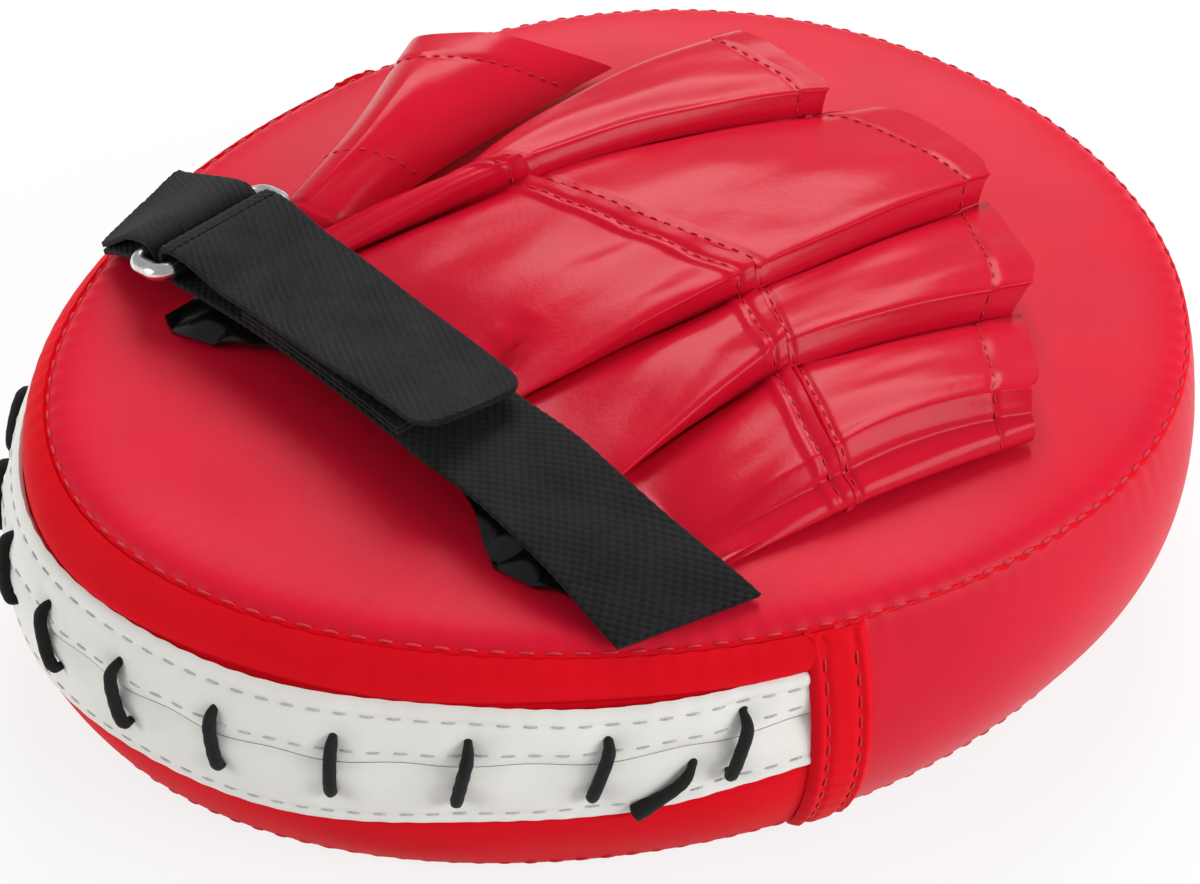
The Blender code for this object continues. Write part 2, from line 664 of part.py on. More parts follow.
def cuff_line(share, knuckle, steps, dip=0.0):
    """Line from a share of the cuff's arch to a knuckle point, sagging or rising on its way."""
    run = np.linspace(0, 1, steps)[:, None]
    start = np.append(strap_plan(CUFF_START + CUFF_SPAN * share, CLEAR / 2), cuff_rise(share))
    line = start + (knuckle - start) * np.concatenate([run, run, run**CUFF_EASE], 1)
    line[:, 2] += dip * np.sin(math.pi * run[:, 0])
    return line


def hand_back_panel():
    """Cover of the hand: the cuff's arch breaks into pleats that run to the four knuckles."""
    steps = 10
    foot = cuff_line(0.0, INDEX_FOOT[0], steps)
    left, grids = None, []
    for name, ridge_line, seam_line, share, _ in FINGERS:
        ridge = cuff_line(share, ridge_line[0], steps)
        last = name == FINGERS[-1][0]
        end = 1.0 if last else min(share + CUFF_VALLEY, 1.0)
        right = cuff_line(end, seam_line[0], steps, 0.0 if last else -CUFF_DIP)
        if left is None:
            lines = box_section(foot, cuff_line(INDEX_EDGE_CUFF, INDEX_EDGE[0], steps), ridge, right)
        else:
            lines = pleat(left, ridge, right)
        grids.append(cover_grid(lines)[:, 0 if left is None else 1:])
        left = right
    inner = np.concatenate(grids, 1)
    outer = inner + np.array([0.0, 0.0, COVER])
    shell("hand_back_panel", outer, inner, *RED_STALL)


def finger_stalls():
    """Four stalls fanned from the knuckles, butted to the hand cover and to each other."""
    run = np.linspace(0, 1, STALL_ROWS)
    left = None
    for name, ridge_line, seam_line, _, bulge in FINGERS:
        ridge, right = along_line(ridge_line, run), along_line(seam_line, run)
        if left is None:
            section = box_section
            lines = [along_line(INDEX_FOOT, run), along_line(INDEX_EDGE, run), ridge, right]
        else:
            section, lines = pleat, [left, ridge, right]
        ahead = (ridge_line[-1] - ridge_line[0]) * np.array([1, 1, 0])
        stall(name, section, [line + ahead / np.linalg.norm(ahead) * KNUCKLE_GAP for line in lines], bulge)
        across = (right - ridge) * np.array([1, 1, 0])
        left = right + across / np.linalg.norm(across, axis=-1, keepdims=True) * VALLEY_GAP


def thumb_stall():
    run = np.linspace(0, 1, STALL_ROWS)
    stall("thumb_stall", slope_section, [along_line(line, run) for line in (THUMB_FOOT, THUMB_EDGE, THUMB_SEAM)])


def hang_on_axis(name, point, pieces):
    """Empty on a joint's axis that carries the pieces which turn about it."""
    pivot = bpy.data.objects.new(name, None)
    bpy.context.collection.objects.link(pivot)
    pivot.location = point
    for piece in pieces:
        piece.parent = pivot
        piece.location = [-value for value in point]


def centre_length():
    """Move the finished part along X so that its length is centred on the origin."""
    bpy.context.view_layer.update()
    solids = [piece for piece in bpy.data.objects if piece.type != "EMPTY" and not piece.hide_render]
    reach = [(piece.matrix_world.translation.x + corner[0]) for piece in solids for corner in piece.bound_box]
    shift = -(min(reach) + max(reach)) / 2
    for piece in bpy.data.objects:
        if piece.parent is None:
            piece.location.x += shift
    bpy.context.view_layer.update()


def main():
    for old in list(bpy.data.objects):
        bpy.data.objects.remove(old, do_unlink=True)
    strike_panel()
    foam_layers()
    back_panel()
    wall_strips()
    seam_laps()
    closure_lace()
    anchor_webbing()
    strap_base()
    ring = buckle_ring()
    hang_on_axis("ring_axis", ring_axis(), [ring])
    hang_on_axis("flap_axis", flap_axis(), strap_flap())
    cuff_lining()
    hand_back_panel()
    finger_stalls()
    thumb_stall()
    centre_length()


main()
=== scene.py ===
"""Looks of a boxing focus mitt: sewn cover, laced wrist, finger stalls and wrist strap.

Every surface is a grid of points worked out from the frame's own sizes. Lengths are in metres.
"""
import math

import bpy
import numpy as np
from mathutils import Matrix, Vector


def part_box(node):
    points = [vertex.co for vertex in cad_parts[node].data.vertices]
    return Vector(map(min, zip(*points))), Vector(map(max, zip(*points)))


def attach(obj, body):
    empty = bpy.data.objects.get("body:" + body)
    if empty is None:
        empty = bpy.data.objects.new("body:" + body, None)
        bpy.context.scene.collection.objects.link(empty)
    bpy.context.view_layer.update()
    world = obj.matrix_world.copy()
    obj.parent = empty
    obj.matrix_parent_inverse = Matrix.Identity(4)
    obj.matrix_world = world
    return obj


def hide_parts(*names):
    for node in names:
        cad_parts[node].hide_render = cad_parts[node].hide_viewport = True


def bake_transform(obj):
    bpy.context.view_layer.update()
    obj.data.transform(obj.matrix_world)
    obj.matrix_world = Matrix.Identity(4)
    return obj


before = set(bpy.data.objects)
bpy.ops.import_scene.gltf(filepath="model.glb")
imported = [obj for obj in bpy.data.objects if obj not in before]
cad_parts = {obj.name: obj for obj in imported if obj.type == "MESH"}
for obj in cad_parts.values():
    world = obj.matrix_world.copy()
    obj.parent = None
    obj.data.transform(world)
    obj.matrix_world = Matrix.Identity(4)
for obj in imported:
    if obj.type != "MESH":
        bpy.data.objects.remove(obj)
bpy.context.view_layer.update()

# Pad sizes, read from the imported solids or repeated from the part's own values
PANEL_LOW, PANEL_HIGH = (np.array(corner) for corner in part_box("back_panel"))
SHIFT = (PANEL_LOW[0] + PANEL_HIGH[0]) / 2
SEAM_LENGTH = PANEL_HIGH[0] - PANEL_LOW[0]
SEAM_WIDTH = 0.188
EGG = 0.135
WRIST_THICKNESS = 0.0598
FINGER_THICKNESS = 0.0493
WRIST_LEAN = 0.0072
FINGER_LEAN = -0.0035
WRIST_BULGE = 0.0100
FINGER_BULGE = 0.0062
BACK_CROWN = 0.0030
SKIN = 0.0015
CLEAR = 0.0003
TAU = 2 * math.pi


# Numbers and grids


def smooth(value, low, high):
    """0 below low, 1 above high, an S-shaped rise between."""
    share = np.clip((value - low) / (high - low), 0.0, 1.0)
    return share * share * (3 - 2 * share)


def bump(value, middle, width):
    """Bell curve of height 1."""
    return np.exp(-((value - middle) / width) ** 2)


def mix(a, b, share):
    return a + (b - a) * share


def unit(vectors):
    return vectors / np.maximum(np.linalg.norm(vectors, axis=-1, keepdims=True), 1e-12)


def waves(x, y, seed, scale, count=7):
    """Soft unevenness: a sum of sine waves in random directions, of about unit height."""
    draw = np.random.default_rng(seed)
    total = np.zeros(np.broadcast(x, y).shape)
    for _ in range(count):
        turn, phase = draw.uniform(0, TAU, 2)
        pitch = scale * draw.uniform(0.7, 1.6)
        total = total + np.sin(TAU * (x * math.cos(turn) + y * math.sin(turn)) / pitch + phase)
    return total / math.sqrt(count)


def full_turn(count):
    """Angles of one turn in equal steps."""
    return np.linspace(0, TAU, count, endpoint=False)


def raised(plan, height):
    """Plan points with a third coordinate."""
    return np.concatenate([plan, np.broadcast_to(height, plan.shape[:-1])[..., None]], -1)


def path_run(path):
    """Running length along a path."""
    return np.concatenate([[0.0], np.cumsum(np.linalg.norm(np.diff(path, axis=0), axis=-1))])


def read_along(place, run, values):
    """Rows of values at some places of a path, from those at its running lengths."""
    return np.stack([np.interp(place, run, column) for column in values.T], -1)


def grid_normals(grid):
    """Unit normals of a grid of points, from the cross product of its two directions."""
    return unit(np.cross(np.gradient(grid, axis=1), np.gradient(grid, axis=0)))


def grid_faces(rows, columns, wrap_rows=False, wrap_columns=False):
    """Quads of a grid, as rows of four vertex numbers."""
    r = np.arange(rows if wrap_rows else rows - 1)[:, None]
    c = np.arange(columns if wrap_columns else columns - 1)[None]
    s, d = (r + 1) % rows, (c + 1) % columns
    quads = [r * columns + c, r * columns + d, s * columns + d, s * columns + c]
    return np.stack(np.broadcast_arrays(*quads), -1).reshape(-1, 4)


def put_mesh(name, points, faces, material, uv=None, smooth_angle=50):
    """Object at the origin from its points and arrays of faces, with an optional UV for each point."""
    mesh = bpy.data.meshes.new(name)
    mesh.from_pydata(points.tolist(), [], [tuple(face) for kind in faces for face in kind.tolist()])
    if uv is not None:
        loops = np.empty(len(mesh.loops), dtype=np.int32)
        mesh.loops.foreach_get("vertex_index", loops)
        layer = mesh.uv_layers.new(name="UVMap")
        layer.data.foreach_set("uv", uv[loops].astype(np.float32).ravel())
    mesh.update()
    mesh.shade_smooth()
    mesh.set_sharp_from_angle(angle=math.radians(smooth_angle))
    mesh.materials.append(material)
    piece = bpy.data.objects.new(name, mesh)
    bpy.context.collection.objects.link(piece)
    return piece


def arc_lengths(grid, axis):
    """Running length along one direction of a grid, averaged over the other."""
    steps = np.linalg.norm(np.diff(grid, axis=axis), axis=-1).mean(1 - axis)
    return np.concatenate([[0.0], np.cumsum(steps)])


def sheet_of(name, outer, thickness, material, flip=False):
    """Leather of even thickness: a grid, its copy moved inwards along the normals, and four rims.

    The grid's rows and columns run so that their cross product points outwards, or inwards with flip.
    """
    rows, columns = outer.shape[:2]
    normal = grid_normals(outer) * (-1 if flip else 1)
    inner = outer - normal * thickness
    count = rows * columns
    top = grid_faces(rows, columns)
    top = top[:, ::-1] if flip else top
    under = top[:, ::-1] + count
    edge = np.concatenate([
        np.arange(columns),
        np.arange(1, rows) * columns + columns - 1,
        (rows - 1) * columns + np.arange(columns - 2, -1, -1),
        np.arange(rows - 2, 0, -1) * columns,
    ])
    after = np.roll(edge, -1)
    rim = np.stack([after, edge, edge + count, after + count], -1)
    rim = rim[:, ::-1] if flip else rim
    u, v = np.meshgrid(arc_lengths(outer, 1), arc_lengths(outer, 0))
    uv = np.stack([u, v], -1).reshape(-1, 2)
    points = np.concatenate([outer.reshape(-1, 3), inner.reshape(-1, 3)])
    return put_mesh(name, points, [top, under, rim], material, np.concatenate([uv, uv]))


def tube_of(name, loops, material, ends=None, flip=False, **details):
    """Closed body through a stack of loops, its ends fanned onto two points: the loops' middles or given ones."""
    rows, columns = loops.shape[:2]
    c = np.arange(columns)
    d = (c + 1) % columns
    first = rows * columns
    fans = np.concatenate([
        np.stack([first + 0 * c, d, c], -1),
        np.stack([first + 1 + 0 * c, first - columns + c, first - columns + d], -1),
    ])
    faces = [grid_faces(rows, columns, wrap_columns=True), fans]
    if flip:
        faces = [kind[:, ::-1] for kind in faces]
    if ends is None:
        ends = np.stack([loops[0].mean(0), loops[-1].mean(0)])
    return put_mesh(name, np.concatenate([loops.reshape(-1, 3), ends]), faces, material, **details)


# Shape of the pad


def egg(angle, share=1.0):
    """Plan of the back seam: an ellipse whose width grows towards the fingers."""
    along = share * np.cos(angle)
    across = share * np.sin(angle)
    return np.stack([SHIFT + SEAM_LENGTH / 2 * along, SEAM_WIDTH / 2 * across * (1 + EGG * along)], -1)


def egg_normal(angle):
    """Outward unit normal of the seam in plan."""
    step = 1e-4
    tangent = unit(egg(angle + step) - egg(angle - step))
    return np.stack([tangent[..., 1], -tangent[..., 0]], -1)


def pad_height(x):
    """Thickness of the pad at its seam, tapering from wrist to fingers."""
    return mix(WRIST_THICKNESS, FINGER_THICKNESS, (x - SHIFT) / SEAM_LENGTH + 0.5)


def panel_top(plan):
    """Height of the crowned back panel over a plan point."""
    along = (plan[..., 0] - SHIFT) / (SEAM_LENGTH / 2)
    across = plan[..., 1] / (SEAM_WIDTH / 2 * (1 + EGG * along))
    return pad_height(plan[..., 0]) + BACK_CROWN * np.clip(1 - along**2 - across**2, 0.0, 1.0)


def wall(angle, height, out=0.0):
    """Barrel-shaped wall: the seam's plan moved out by its lean and bulge at that height."""
    angle, height, out = np.broadcast_arrays(angle, height, out)
    seam = egg(angle)
    share = height / pad_height(seam[..., 0])
    wrist = (1 - np.cos(angle)) / 2
    lean = mix(FINGER_LEAN, WRIST_LEAN, wrist)
    bulge = mix(FINGER_BULGE, WRIST_BULGE, wrist)
    offset = lean * (1 - share) + bulge * 4 * share * (1 - share) + out
    plan = seam + egg_normal(angle) * offset[..., None]
    return raised(plan, height)


def lift_plan(plan, above):
    """Put plan points at a height above the back panel."""
    return raised(plan, panel_top(plan) + above)


def seam_run(angles):
    """Length along the back seam at each angle."""
    return path_run(egg(angles))


def from_wrist(angle):
    """Turn away from the middle of the wrist end, to either side."""
    return np.abs(np.angle(np.exp(1j * (angle - math.pi))))


# Materials


def set_inputs(tree, made, inputs):
    """Give a node its inputs by name or number: each is a value or another node's socket."""
    for key, value in inputs.items():
        socket = made.inputs[key.replace("_", " ") if isinstance(key, str) else key]
        if isinstance(value, bpy.types.NodeSocket):
            tree.links.new(value, socket)
        else:
            socket.default_value = value


def node(tree, kind, settings=None, **inputs):
    """New shader node with its settings and inputs."""
    made = tree.nodes.new(kind)
    for key, value in (settings or {}).items():
        setattr(made, key, value)
    set_inputs(tree, made, inputs)
    return made


def maths(tree, operation, *values):
    """Result of a sum on values or sockets."""
    made = node(tree, "ShaderNodeMath", {"operation": operation})
    set_inputs(tree, made, dict(enumerate(values)))
    return made.outputs["Value"]


def noise(tree, place, scale, detail, roughness=0.5):
    """Cloudy value between 0 and 1."""
    made = node(tree, "ShaderNodeTexNoise", Vector=place, Scale=scale, Detail=detail, Roughness=roughness)
    return made.outputs["Fac"]


def ranged(tree, value, low, high):
    """Value between 0 and 1, spread from low to high."""
    return node(tree, "ShaderNodeMapRange", Value=value, To_Min=low, To_Max=high).outputs["Result"]


def dented(tree, height, strength, depth, **under):
    """Normals that follow a height."""
    made = node(tree, "ShaderNodeBump", Strength=strength, Distance=depth, Height=height, **under)
    return made.outputs["Normal"]


def two_tone(tree, value, dark, light, low=0.3, high=0.7):
    """Colour that runs from dark to light with a value."""
    ramp = node(tree, "ShaderNodeValToRGB", Fac=value)
    for stop, place, colour in zip(ramp.color_ramp.elements, (low, high), (dark, light)):
        stop.position = place
        stop.color = (*colour, 1.0)
    return ramp.outputs["Color"]


def shaded(colour, factor):
    return tuple(min(1.0, channel * factor) for channel in colour)


def new_material(name):
    """New material with its node tree and shader."""
    material = bpy.data.materials.new(name)
    material.use_nodes = True
    return material, material.node_tree, material.node_tree.nodes["Principled BSDF"]


def finish(name, pattern, coordinates="Object", **values):
    """Material whose shader takes plain values and the sockets that a pattern makes from a place on the piece."""
    material, tree, shader = new_material(name)
    place = node(tree, "ShaderNodeTexCoord").outputs[coordinates]
    for socket, source in zip(("Base Color", "Roughness", "Normal"), pattern(tree, place)):
        tree.links.new(source, shader.inputs[socket])
    set_inputs(tree, shader, values)
    return material


def leather(name, colour, roughness, grain, shine, coat=0.0):
    """Coated artificial leather: cloudy colour, fine pebble grain, uneven gloss."""
    def pattern(tree, place):
        pebble = node(tree, "ShaderNodeTexVoronoi", {"feature": "SMOOTH_F1"}, Vector=place, Scale=1300.0,
                      Smoothness=0.5)
        crease = noise(tree, place, 340.0, 5.0, 0.65)
        small = dented(tree, pebble.outputs["Distance"], grain * 0.5, 0.0002)
        return (two_tone(tree, noise(tree, place, 42.0, 4.0, 0.6), shaded(colour, 0.95), shaded(colour, 1.05)),
                ranged(tree, crease, roughness - 0.05, roughness + 0.07),
                dented(tree, crease, grain, 0.0006, Normal=small))
    return finish(name, pattern, Specular_IOR_Level=shine, Coat_Weight=coat, Coat_Roughness=0.22)


def groove_shade_waves(tree, place, rows):
    """Product of cosine waves over a UV map, each with its own count of rows per metre along and across: low in the
    weave's grooves, where it paints shade.
    """
    product = None
    for along, across in rows:
        spot = node(tree, "ShaderNodeVectorMath", {"operation": "DOT_PRODUCT"})
        set_inputs(tree, spot, {0: place, 1: (TAU * along, TAU * across, 0.0)})
        wave = maths(tree, "COSINE", spot.outputs["Value"])
        product = wave if product is None else maths(tree, "MULTIPLY", product, wave)
    return product


def woven(name, colour, pitch, roughness=0.78, rows=((0.0, 0.0),), groove_shade=0.11):
    """Webbing or cord: fine streaks along the yarns of a UV map laid out in metres, with painted shade darker between
    yarn rows.
    """
    def pattern(tree, place):
        turned = node(tree, "ShaderNodeMapping", Vector=place, Rotation=(0, 0, math.radians(38)),
                      Scale=(1 / pitch, 0.25 / pitch, 1))
        fibre = noise(tree, turned.outputs["Vector"], 3.0, 4.0, 0.7)
        fluff = noise(tree, place, 90.0, 3.0, 0.6)
        # Painted shade: the colour darkens between yarn rows, in step with the grooves of the woven relief; the fibre
        # streaks are the yarn's own tone
        weave = maths(tree, "MULTIPLY_ADD", groove_shade_waves(tree, place, rows), groove_shade,
                      maths(tree, "MULTIPLY", fibre, fluff))
        return (two_tone(tree, weave, shaded(colour, 0.35), shaded(colour, 1.9), 0.10, 0.42),
                ranged(tree, fibre, roughness - 0.1, roughness + 0.1),
                dented(tree, fibre, 0.5, 0.0002))
    return finish(name, pattern, "UV", Sheen_Weight=0.04, Sheen_Roughness=0.5, Specular_IOR_Level=0.13)


def sewing_thread(name, colour):
    """Twisted polyester thread with a soft shine."""
    def pattern(tree, place):
        twist = noise(tree, place, 2600.0, 2.0)
        return two_tone(tree, twist, shaded(colour, 0.7), shaded(colour, 1.15)), ranged(tree, twist, 0.4, 0.65)
    return finish(name, pattern, Specular_IOR_Level=0.4)


def polished_wire(name):
    """Nickel-plated steel with faint draw marks."""
    def pattern(tree, place):
        marks = noise(tree, place, 420.0, 5.0, 0.7)
        return (two_tone(tree, marks, (0.60, 0.60, 0.61), (0.82, 0.82, 0.83)),
                ranged(tree, marks, 0.14, 0.30),
                dented(tree, marks, 0.06, 0.0002))
    return finish(name, pattern, Metallic=1.0)


def open_foam(name, colour):
    """Cut foam with fine cells."""
    def pattern(tree, place):
        cells = node(tree, "ShaderNodeTexVoronoi", Vector=place, Scale=900.0).outputs["Distance"]
        return (two_tone(tree, cells, shaded(colour, 1.1), shaded(colour, 0.7), 0.1, 0.7),
                ranged(tree, cells, 0.85, 1.0),
                dented(tree, cells, 0.6, 0.0006))
    return finish(name, pattern, Specular_IOR_Level=0.2)


TWILL_PITCH, TWILL_SLOPE = 0.0029, 2.0
WEFT_PITCH, WARP_PITCH = 0.0021, 0.0019
RED_PANEL = leather("red_panel_leather", (0.60, 0.006, 0.026), 0.42, 0.08, 0.12)
RED_BAND = leather("red_band_leather", (0.66, 0.005, 0.013), 0.48, 0.08, 0.02)
RED_STALL = leather("red_stall_leather", (0.54, 0.005, 0.023), 0.23, 0.10, 0.10)
WHITE_STRIP = leather("white_strip_leather", (0.76, 0.75, 0.71), 0.48, 0.05, 0.30)
BLACK_LINING = leather("black_lining_leather", (0.004, 0.004, 0.0045), 0.18, 0.12, 0.26, coat=0.2)
# The colour rows of the twill and the strap follow the pitch of their relief: painted shade in its grooves
TWILL_YARN = woven("twill_yarn", (0.009, 0.009, 0.0095), 0.0011,
                   rows=((1 / TWILL_PITCH, TWILL_SLOPE / TWILL_PITCH),), groove_shade=0.04)
STRAP_YARN = woven("strap_yarn", (0.007, 0.007, 0.007), 0.0011,
                   rows=((1 / WEFT_PITCH, 0.0), (0.0, 1 / WARP_PITCH)))
LACE_YARN = woven("lace_yarn", (0.008, 0.008, 0.008), 0.0008, 0.7)
PATCH_PILE = woven("patch_pile", (0.010, 0.010, 0.010), 0.0006, 0.95)
RED_THREAD = sewing_thread("red_thread", (0.60, 0.006, 0.024))
DARK_THREAD = sewing_thread("dark_thread", (0.50, 0.005, 0.018))
GREY_THREAD = sewing_thread("grey_thread", (0.52, 0.52, 0.50))
RING_STEEL = polished_wire("ring_steel")
GREY_FOAM = open_foam("grey_foam", (0.32, 0.33, 0.34))


# Placing


def dress(piece, nodes=(), body="pad"):
    """Ride a piece on its body, and hide the imported solids it stands for."""
    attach(piece, body)
    if nodes:
        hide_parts(*nodes)


# Seams and stitches

SEAM_PITCH = 0.0046
GROOVE_DEPTH = 0.0012
GROOVE_WIDTH = 0.0014
PUCKER_REACH = 0.0036
PUCKER_HEIGHT = 0.00013
THREAD = 0.00024


def pucker(run, away, seed, height=PUCKER_HEIGHT, pitch=SEAM_PITCH, reach=PUCKER_REACH):
    """Gathers beside a seam: a wave at the stitch pitch that dies away from the seam."""
    uneven = 1 + 0.45 * waves(run, 0 * run, seed, 0.022)
    return height * uneven * np.cos(TAU * run / pitch) * np.exp(-away / reach)


def groove(away):
    """Depth of the valley along a seam."""
    return GROOVE_DEPTH * np.exp(-(away / GROOVE_WIDTH))


def stitches(name, path, normal, material, pitch, gap=0.0012, radius=THREAD, lift=0.0):
    """Row of sewn stitches: each a short thread, bowed out in the middle and sunk at both ends."""
    run = path_run(path)
    count = max(2, int(run[-1] / pitch))
    edges = np.linspace(0, run[-1], count + 1)
    first = read_along(edges[:-1] + gap / 2, run, path)
    last = read_along(edges[1:] - gap / 2, run, path)
    up = unit(read_along(np.linspace(0, run[-1], 2 * count + 1)[1::2], run, normal))
    share = np.array([0.0, 0.18, 0.5, 0.82, 1.0])
    bow = np.array([-1.0, 0.25, 0.65, 0.25, -1.0]) * radius + lift
    thick = np.array([0.45, 0.95, 1.0, 0.95, 0.45]) * radius
    way = unit(last - first)
    side = unit(np.cross(way, up))
    up = np.cross(side, way)
    middle = first[:, None] + (last - first)[:, None] * share[None, :, None] + up[:, None] * bow[None, :, None]
    turn = full_turn(6)
    ring = side[:, None, None] * np.cos(turn)[None, None, :, None] \
        + up[:, None, None] * np.sin(turn)[None, None, :, None]
    grid = middle[:, :, None] + ring * thick[None, :, None, None]
    rows, sides = len(share), len(turn)
    one = grid_faces(rows, sides, wrap_columns=True)
    block = rows * sides
    quads = (one[None] + np.arange(count)[:, None, None] * block).reshape(-1, 4)
    c = np.arange(1, sides - 1)
    fan = np.concatenate([
        np.stack([0 * c, c + 1, c], -1),
        np.stack([0 * c, c, c + 1], -1) + (rows - 1) * sides,
    ])
    caps = (fan[None] + np.arange(count)[:, None, None] * block).reshape(-1, 3)
    return put_mesh(name, grid.reshape(-1, 3), [quads[:, ::-1], caps[:, ::-1]], material, smooth_angle=80)


# Pad cover

LAP_ANGLE = math.radians(98.0)
LAP_WIDTH = 0.0090
UPPER_BAND_WRIST = 0.0097
UPPER_BAND_LAP = 0.0072
LOWER_BAND_WRIST = 0.0220
LOWER_BAND_LAP = 0.0290
SLIT_SHARE = 0.545
BAND_TUCK = 0.0022
STRIP_PROUD = 0.0008
PANEL_SWELL = 0.0011
PANEL_UNEVEN = 0.00035
WALL_UNEVEN = 0.0005
FOOT_PUCKER = 0.00008
SHOULDER = 0.0013
UPPER_SET_BACK = 0.0005
LOWER_SET_BACK = 0.0009
BAND_SKIN = SKIN * 0.8
# Rolled edge of the strike face: height and distance out of the wall
STRIKE_EDGE = ((0.0, -0.0032), (0.0003, -0.0016), (SKIN * 0.5, -0.0006), (SKIN, -0.0005), (SKIN * 1.1, -0.0014))
FULL_TURN = full_turn(760)
FINGER_SIDE = (-LAP_ANGLE, LAP_ANGLE)
WRIST_SIDE = (LAP_ANGLE, TAU - LAP_ANGLE)
BASE, LOW, SLIT, HIGH, SEAM = range(5)


def strip_levels(angle):
    """Heights of the edges of the wrist strips: base, top of the lower band, slit, top of the white, seam."""
    turn = from_wrist(angle) / (math.pi - LAP_ANGLE)
    seam = pad_height(egg(angle)[..., 0])
    low = mix(LOWER_BAND_WRIST, LOWER_BAND_LAP, turn**2)
    high = seam - mix(UPPER_BAND_WRIST, UPPER_BAND_LAP, turn**2)
    return SKIN + CLEAR + 0 * low, low, mix(low, high, SLIT_SHARE), high, seam


def panel_puff(plan, away, run):
    """Back panel over its foam: rolled down into the seam, gathered beside it, softly uneven."""
    swell = PANEL_SWELL * (np.exp(-away / 0.016) - np.exp(-away / 0.0035))
    uneven = PANEL_UNEVEN * waves(plan[..., 0], plan[..., 1], 3, 0.05) * smooth(away, 0.0, 0.02)
    return swell - groove(away) + pucker(run, away, 5) + uneven


def back_cover():
    """Back panel: crowned disc whose rings crowd towards the seam, one skin thick."""
    share = 1 - (1 - np.linspace(0.02, 1, 54)) ** 2
    plan = egg(FULL_TURN[None], share[:, None])
    run = seam_run(FULL_TURN)[None] + 0 * share[:, None]
    away = (1 - share)[:, None] * np.linalg.norm(egg(FULL_TURN) - egg(FULL_TURN, 0.0), axis=-1)
    puff = panel_puff(plan, away, run)
    top = lift_plan(plan, puff)[::-1]
    under = lift_plan(plan, puff - SKIN)[8::9]
    piece = tube_of("pad_back_cover", np.concatenate([under, top]), RED_PANEL)
    dress(piece, ["back_panel"])


def wrist_run(angle):
    """Length along the back seam from the far lap to an angle at the wrist."""
    turn = np.linspace(*WRIST_SIDE, 900)
    return np.interp(angle, turn, seam_run(turn))


def wall_relief(angle, height, run, seed):
    """Wall over its foam: drawn in and gathered at the back seam and at the strike seam, softly uneven."""
    seam = pad_height(egg(angle)[..., 0])
    from_top, from_base = np.maximum(seam - height, 0), np.maximum(height - SKIN, 0)
    out = -groove(from_top) * 0.8 + pucker(run, from_top, seed)
    out = out - groove(from_base) * 0.9 + pucker(run, from_base, seed + 1, FOOT_PUCKER)
    belly = smooth(from_top, 0, 0.012) * smooth(from_base, 0, 0.012)
    return out + WALL_UNEVEN * belly * waves(run, height, seed + 2, 0.06)


def wall_band(name, ends, low, high, columns, rows, material, extra=None, seed=11):
    """Strip of the wall from a low to a high edge, each a strip level and a step; extra makes it stand out."""
    angle = np.linspace(*ends, columns)
    levels = strip_levels(angle)
    share = np.linspace(0, 1, rows)[:, None]
    height = mix(levels[low[0]] + low[1], levels[high[0]] + high[1], share)
    turn = angle[None] + 0 * share
    run = seam_run(angle)[None] + 0 * share
    out = wall_relief(turn, height, run, seed)
    if extra is not None:
        out = out + extra(turn, height, run)
    return sheet_of(name, wall(turn, height, out), BAND_SKIN, material)


def side_cover():
    """Side band round the finger end, from lap to lap."""
    piece = wall_band("side_cover", FINGER_SIDE, (BASE, 0.0), (SEAM, -GROOVE_DEPTH), 560, 70, RED_PANEL)
    dress(piece, ["side_band"])


def upper_band():
    """Red band between the back seam and the white strip: a rounded shoulder, tucked behind the strip."""
    def shoulder(turn, height, run):
        levels = strip_levels(turn)
        share = (height - levels[HIGH]) / (levels[SEAM] - levels[HIGH])
        rounded = SHOULDER * np.clip(4 * share * (1 - share), 0, 1)
        return rounded - UPPER_SET_BACK * smooth(-share, -0.12, 0.06)
    piece = wall_band("wrist_upper_cover", WRIST_SIDE, (HIGH, -BAND_TUCK), (SEAM, -GROOVE_DEPTH), 420, 26, RED_BAND,
                      shoulder, 21)
    dress(piece, ["wrist_band_upper"])


def lower_band():
    """Red band between the white strip and the strike seam, tucked behind the strip."""
    def tuck(turn, height, run):
        return -LOWER_SET_BACK * smooth(height - strip_levels(turn)[LOW], -0.001, 0.001)
    piece = wall_band("wrist_lower_cover", WRIST_SIDE, (BASE, 0.0), (LOW, BAND_TUCK), 420, 44, RED_BAND, tuck, 31)
    dress(piece, ["wrist_band_lower"])


def strike_cover():
    """Strike face underneath: flat disc with a rolled edge that meets the wall in the strike seam."""
    run = seam_run(FULL_TURN)
    flat = [raised(egg(FULL_TURN, share), 0.0) for share in (0.3, 0.7, 0.9)]
    edge = [wall(FULL_TURN, height, out + pucker(run, 0.001, 41, 0.0002)) for height, out in STRIKE_EDGE]
    roof = [wall(FULL_TURN, SKIN, -0.004)]
    piece = tube_of("pad_strike_cover", np.stack(flat + edge + roof), RED_BAND)
    dress(piece, ["strike_panel"])


# Laced strips at the wrist

LACE_DIAMETER = 0.0032
LACE_STITCHES = 14
LACE_FIRST = math.radians(109.3)
LACE_PITCH = math.radians(11.06)
LACE_ABOVE = 0.0046
LACE_BELOW = 0.0070
LACE_SLANT = 0.0068
LACE_UPRIGHT = math.radians(219.0)
LACE_TIGHT = 0.75
LACE_TAIL_BACK = math.radians(3.6)
LACE_TAIL_HOLE = 0.0038
LACE_TAIL_DROP = 0.0072
LACE_TAIL_RUN = 0.0078
HOLE_DIMPLE = 0.0011
HOLE_REACH = 0.0030
HOLE_SQUEEZE = 0.26
TAIL_SPREAD = 0.35
TAIL_SPREAD_LENGTH = 0.0075
PLAIT_PITCH = 0.0052
PLAIT_DEPTH = 0.09
LACE_RIDGES = 0.0004
SLIT_FOLD = 0.0011
SLIT_FOLD_REACH = 0.0015
HEM_ROLL = 0.0002
HEM_EDGE = 0.0006
HEM_DENT = 0.00022
STRIP_STITCH = 0.0045
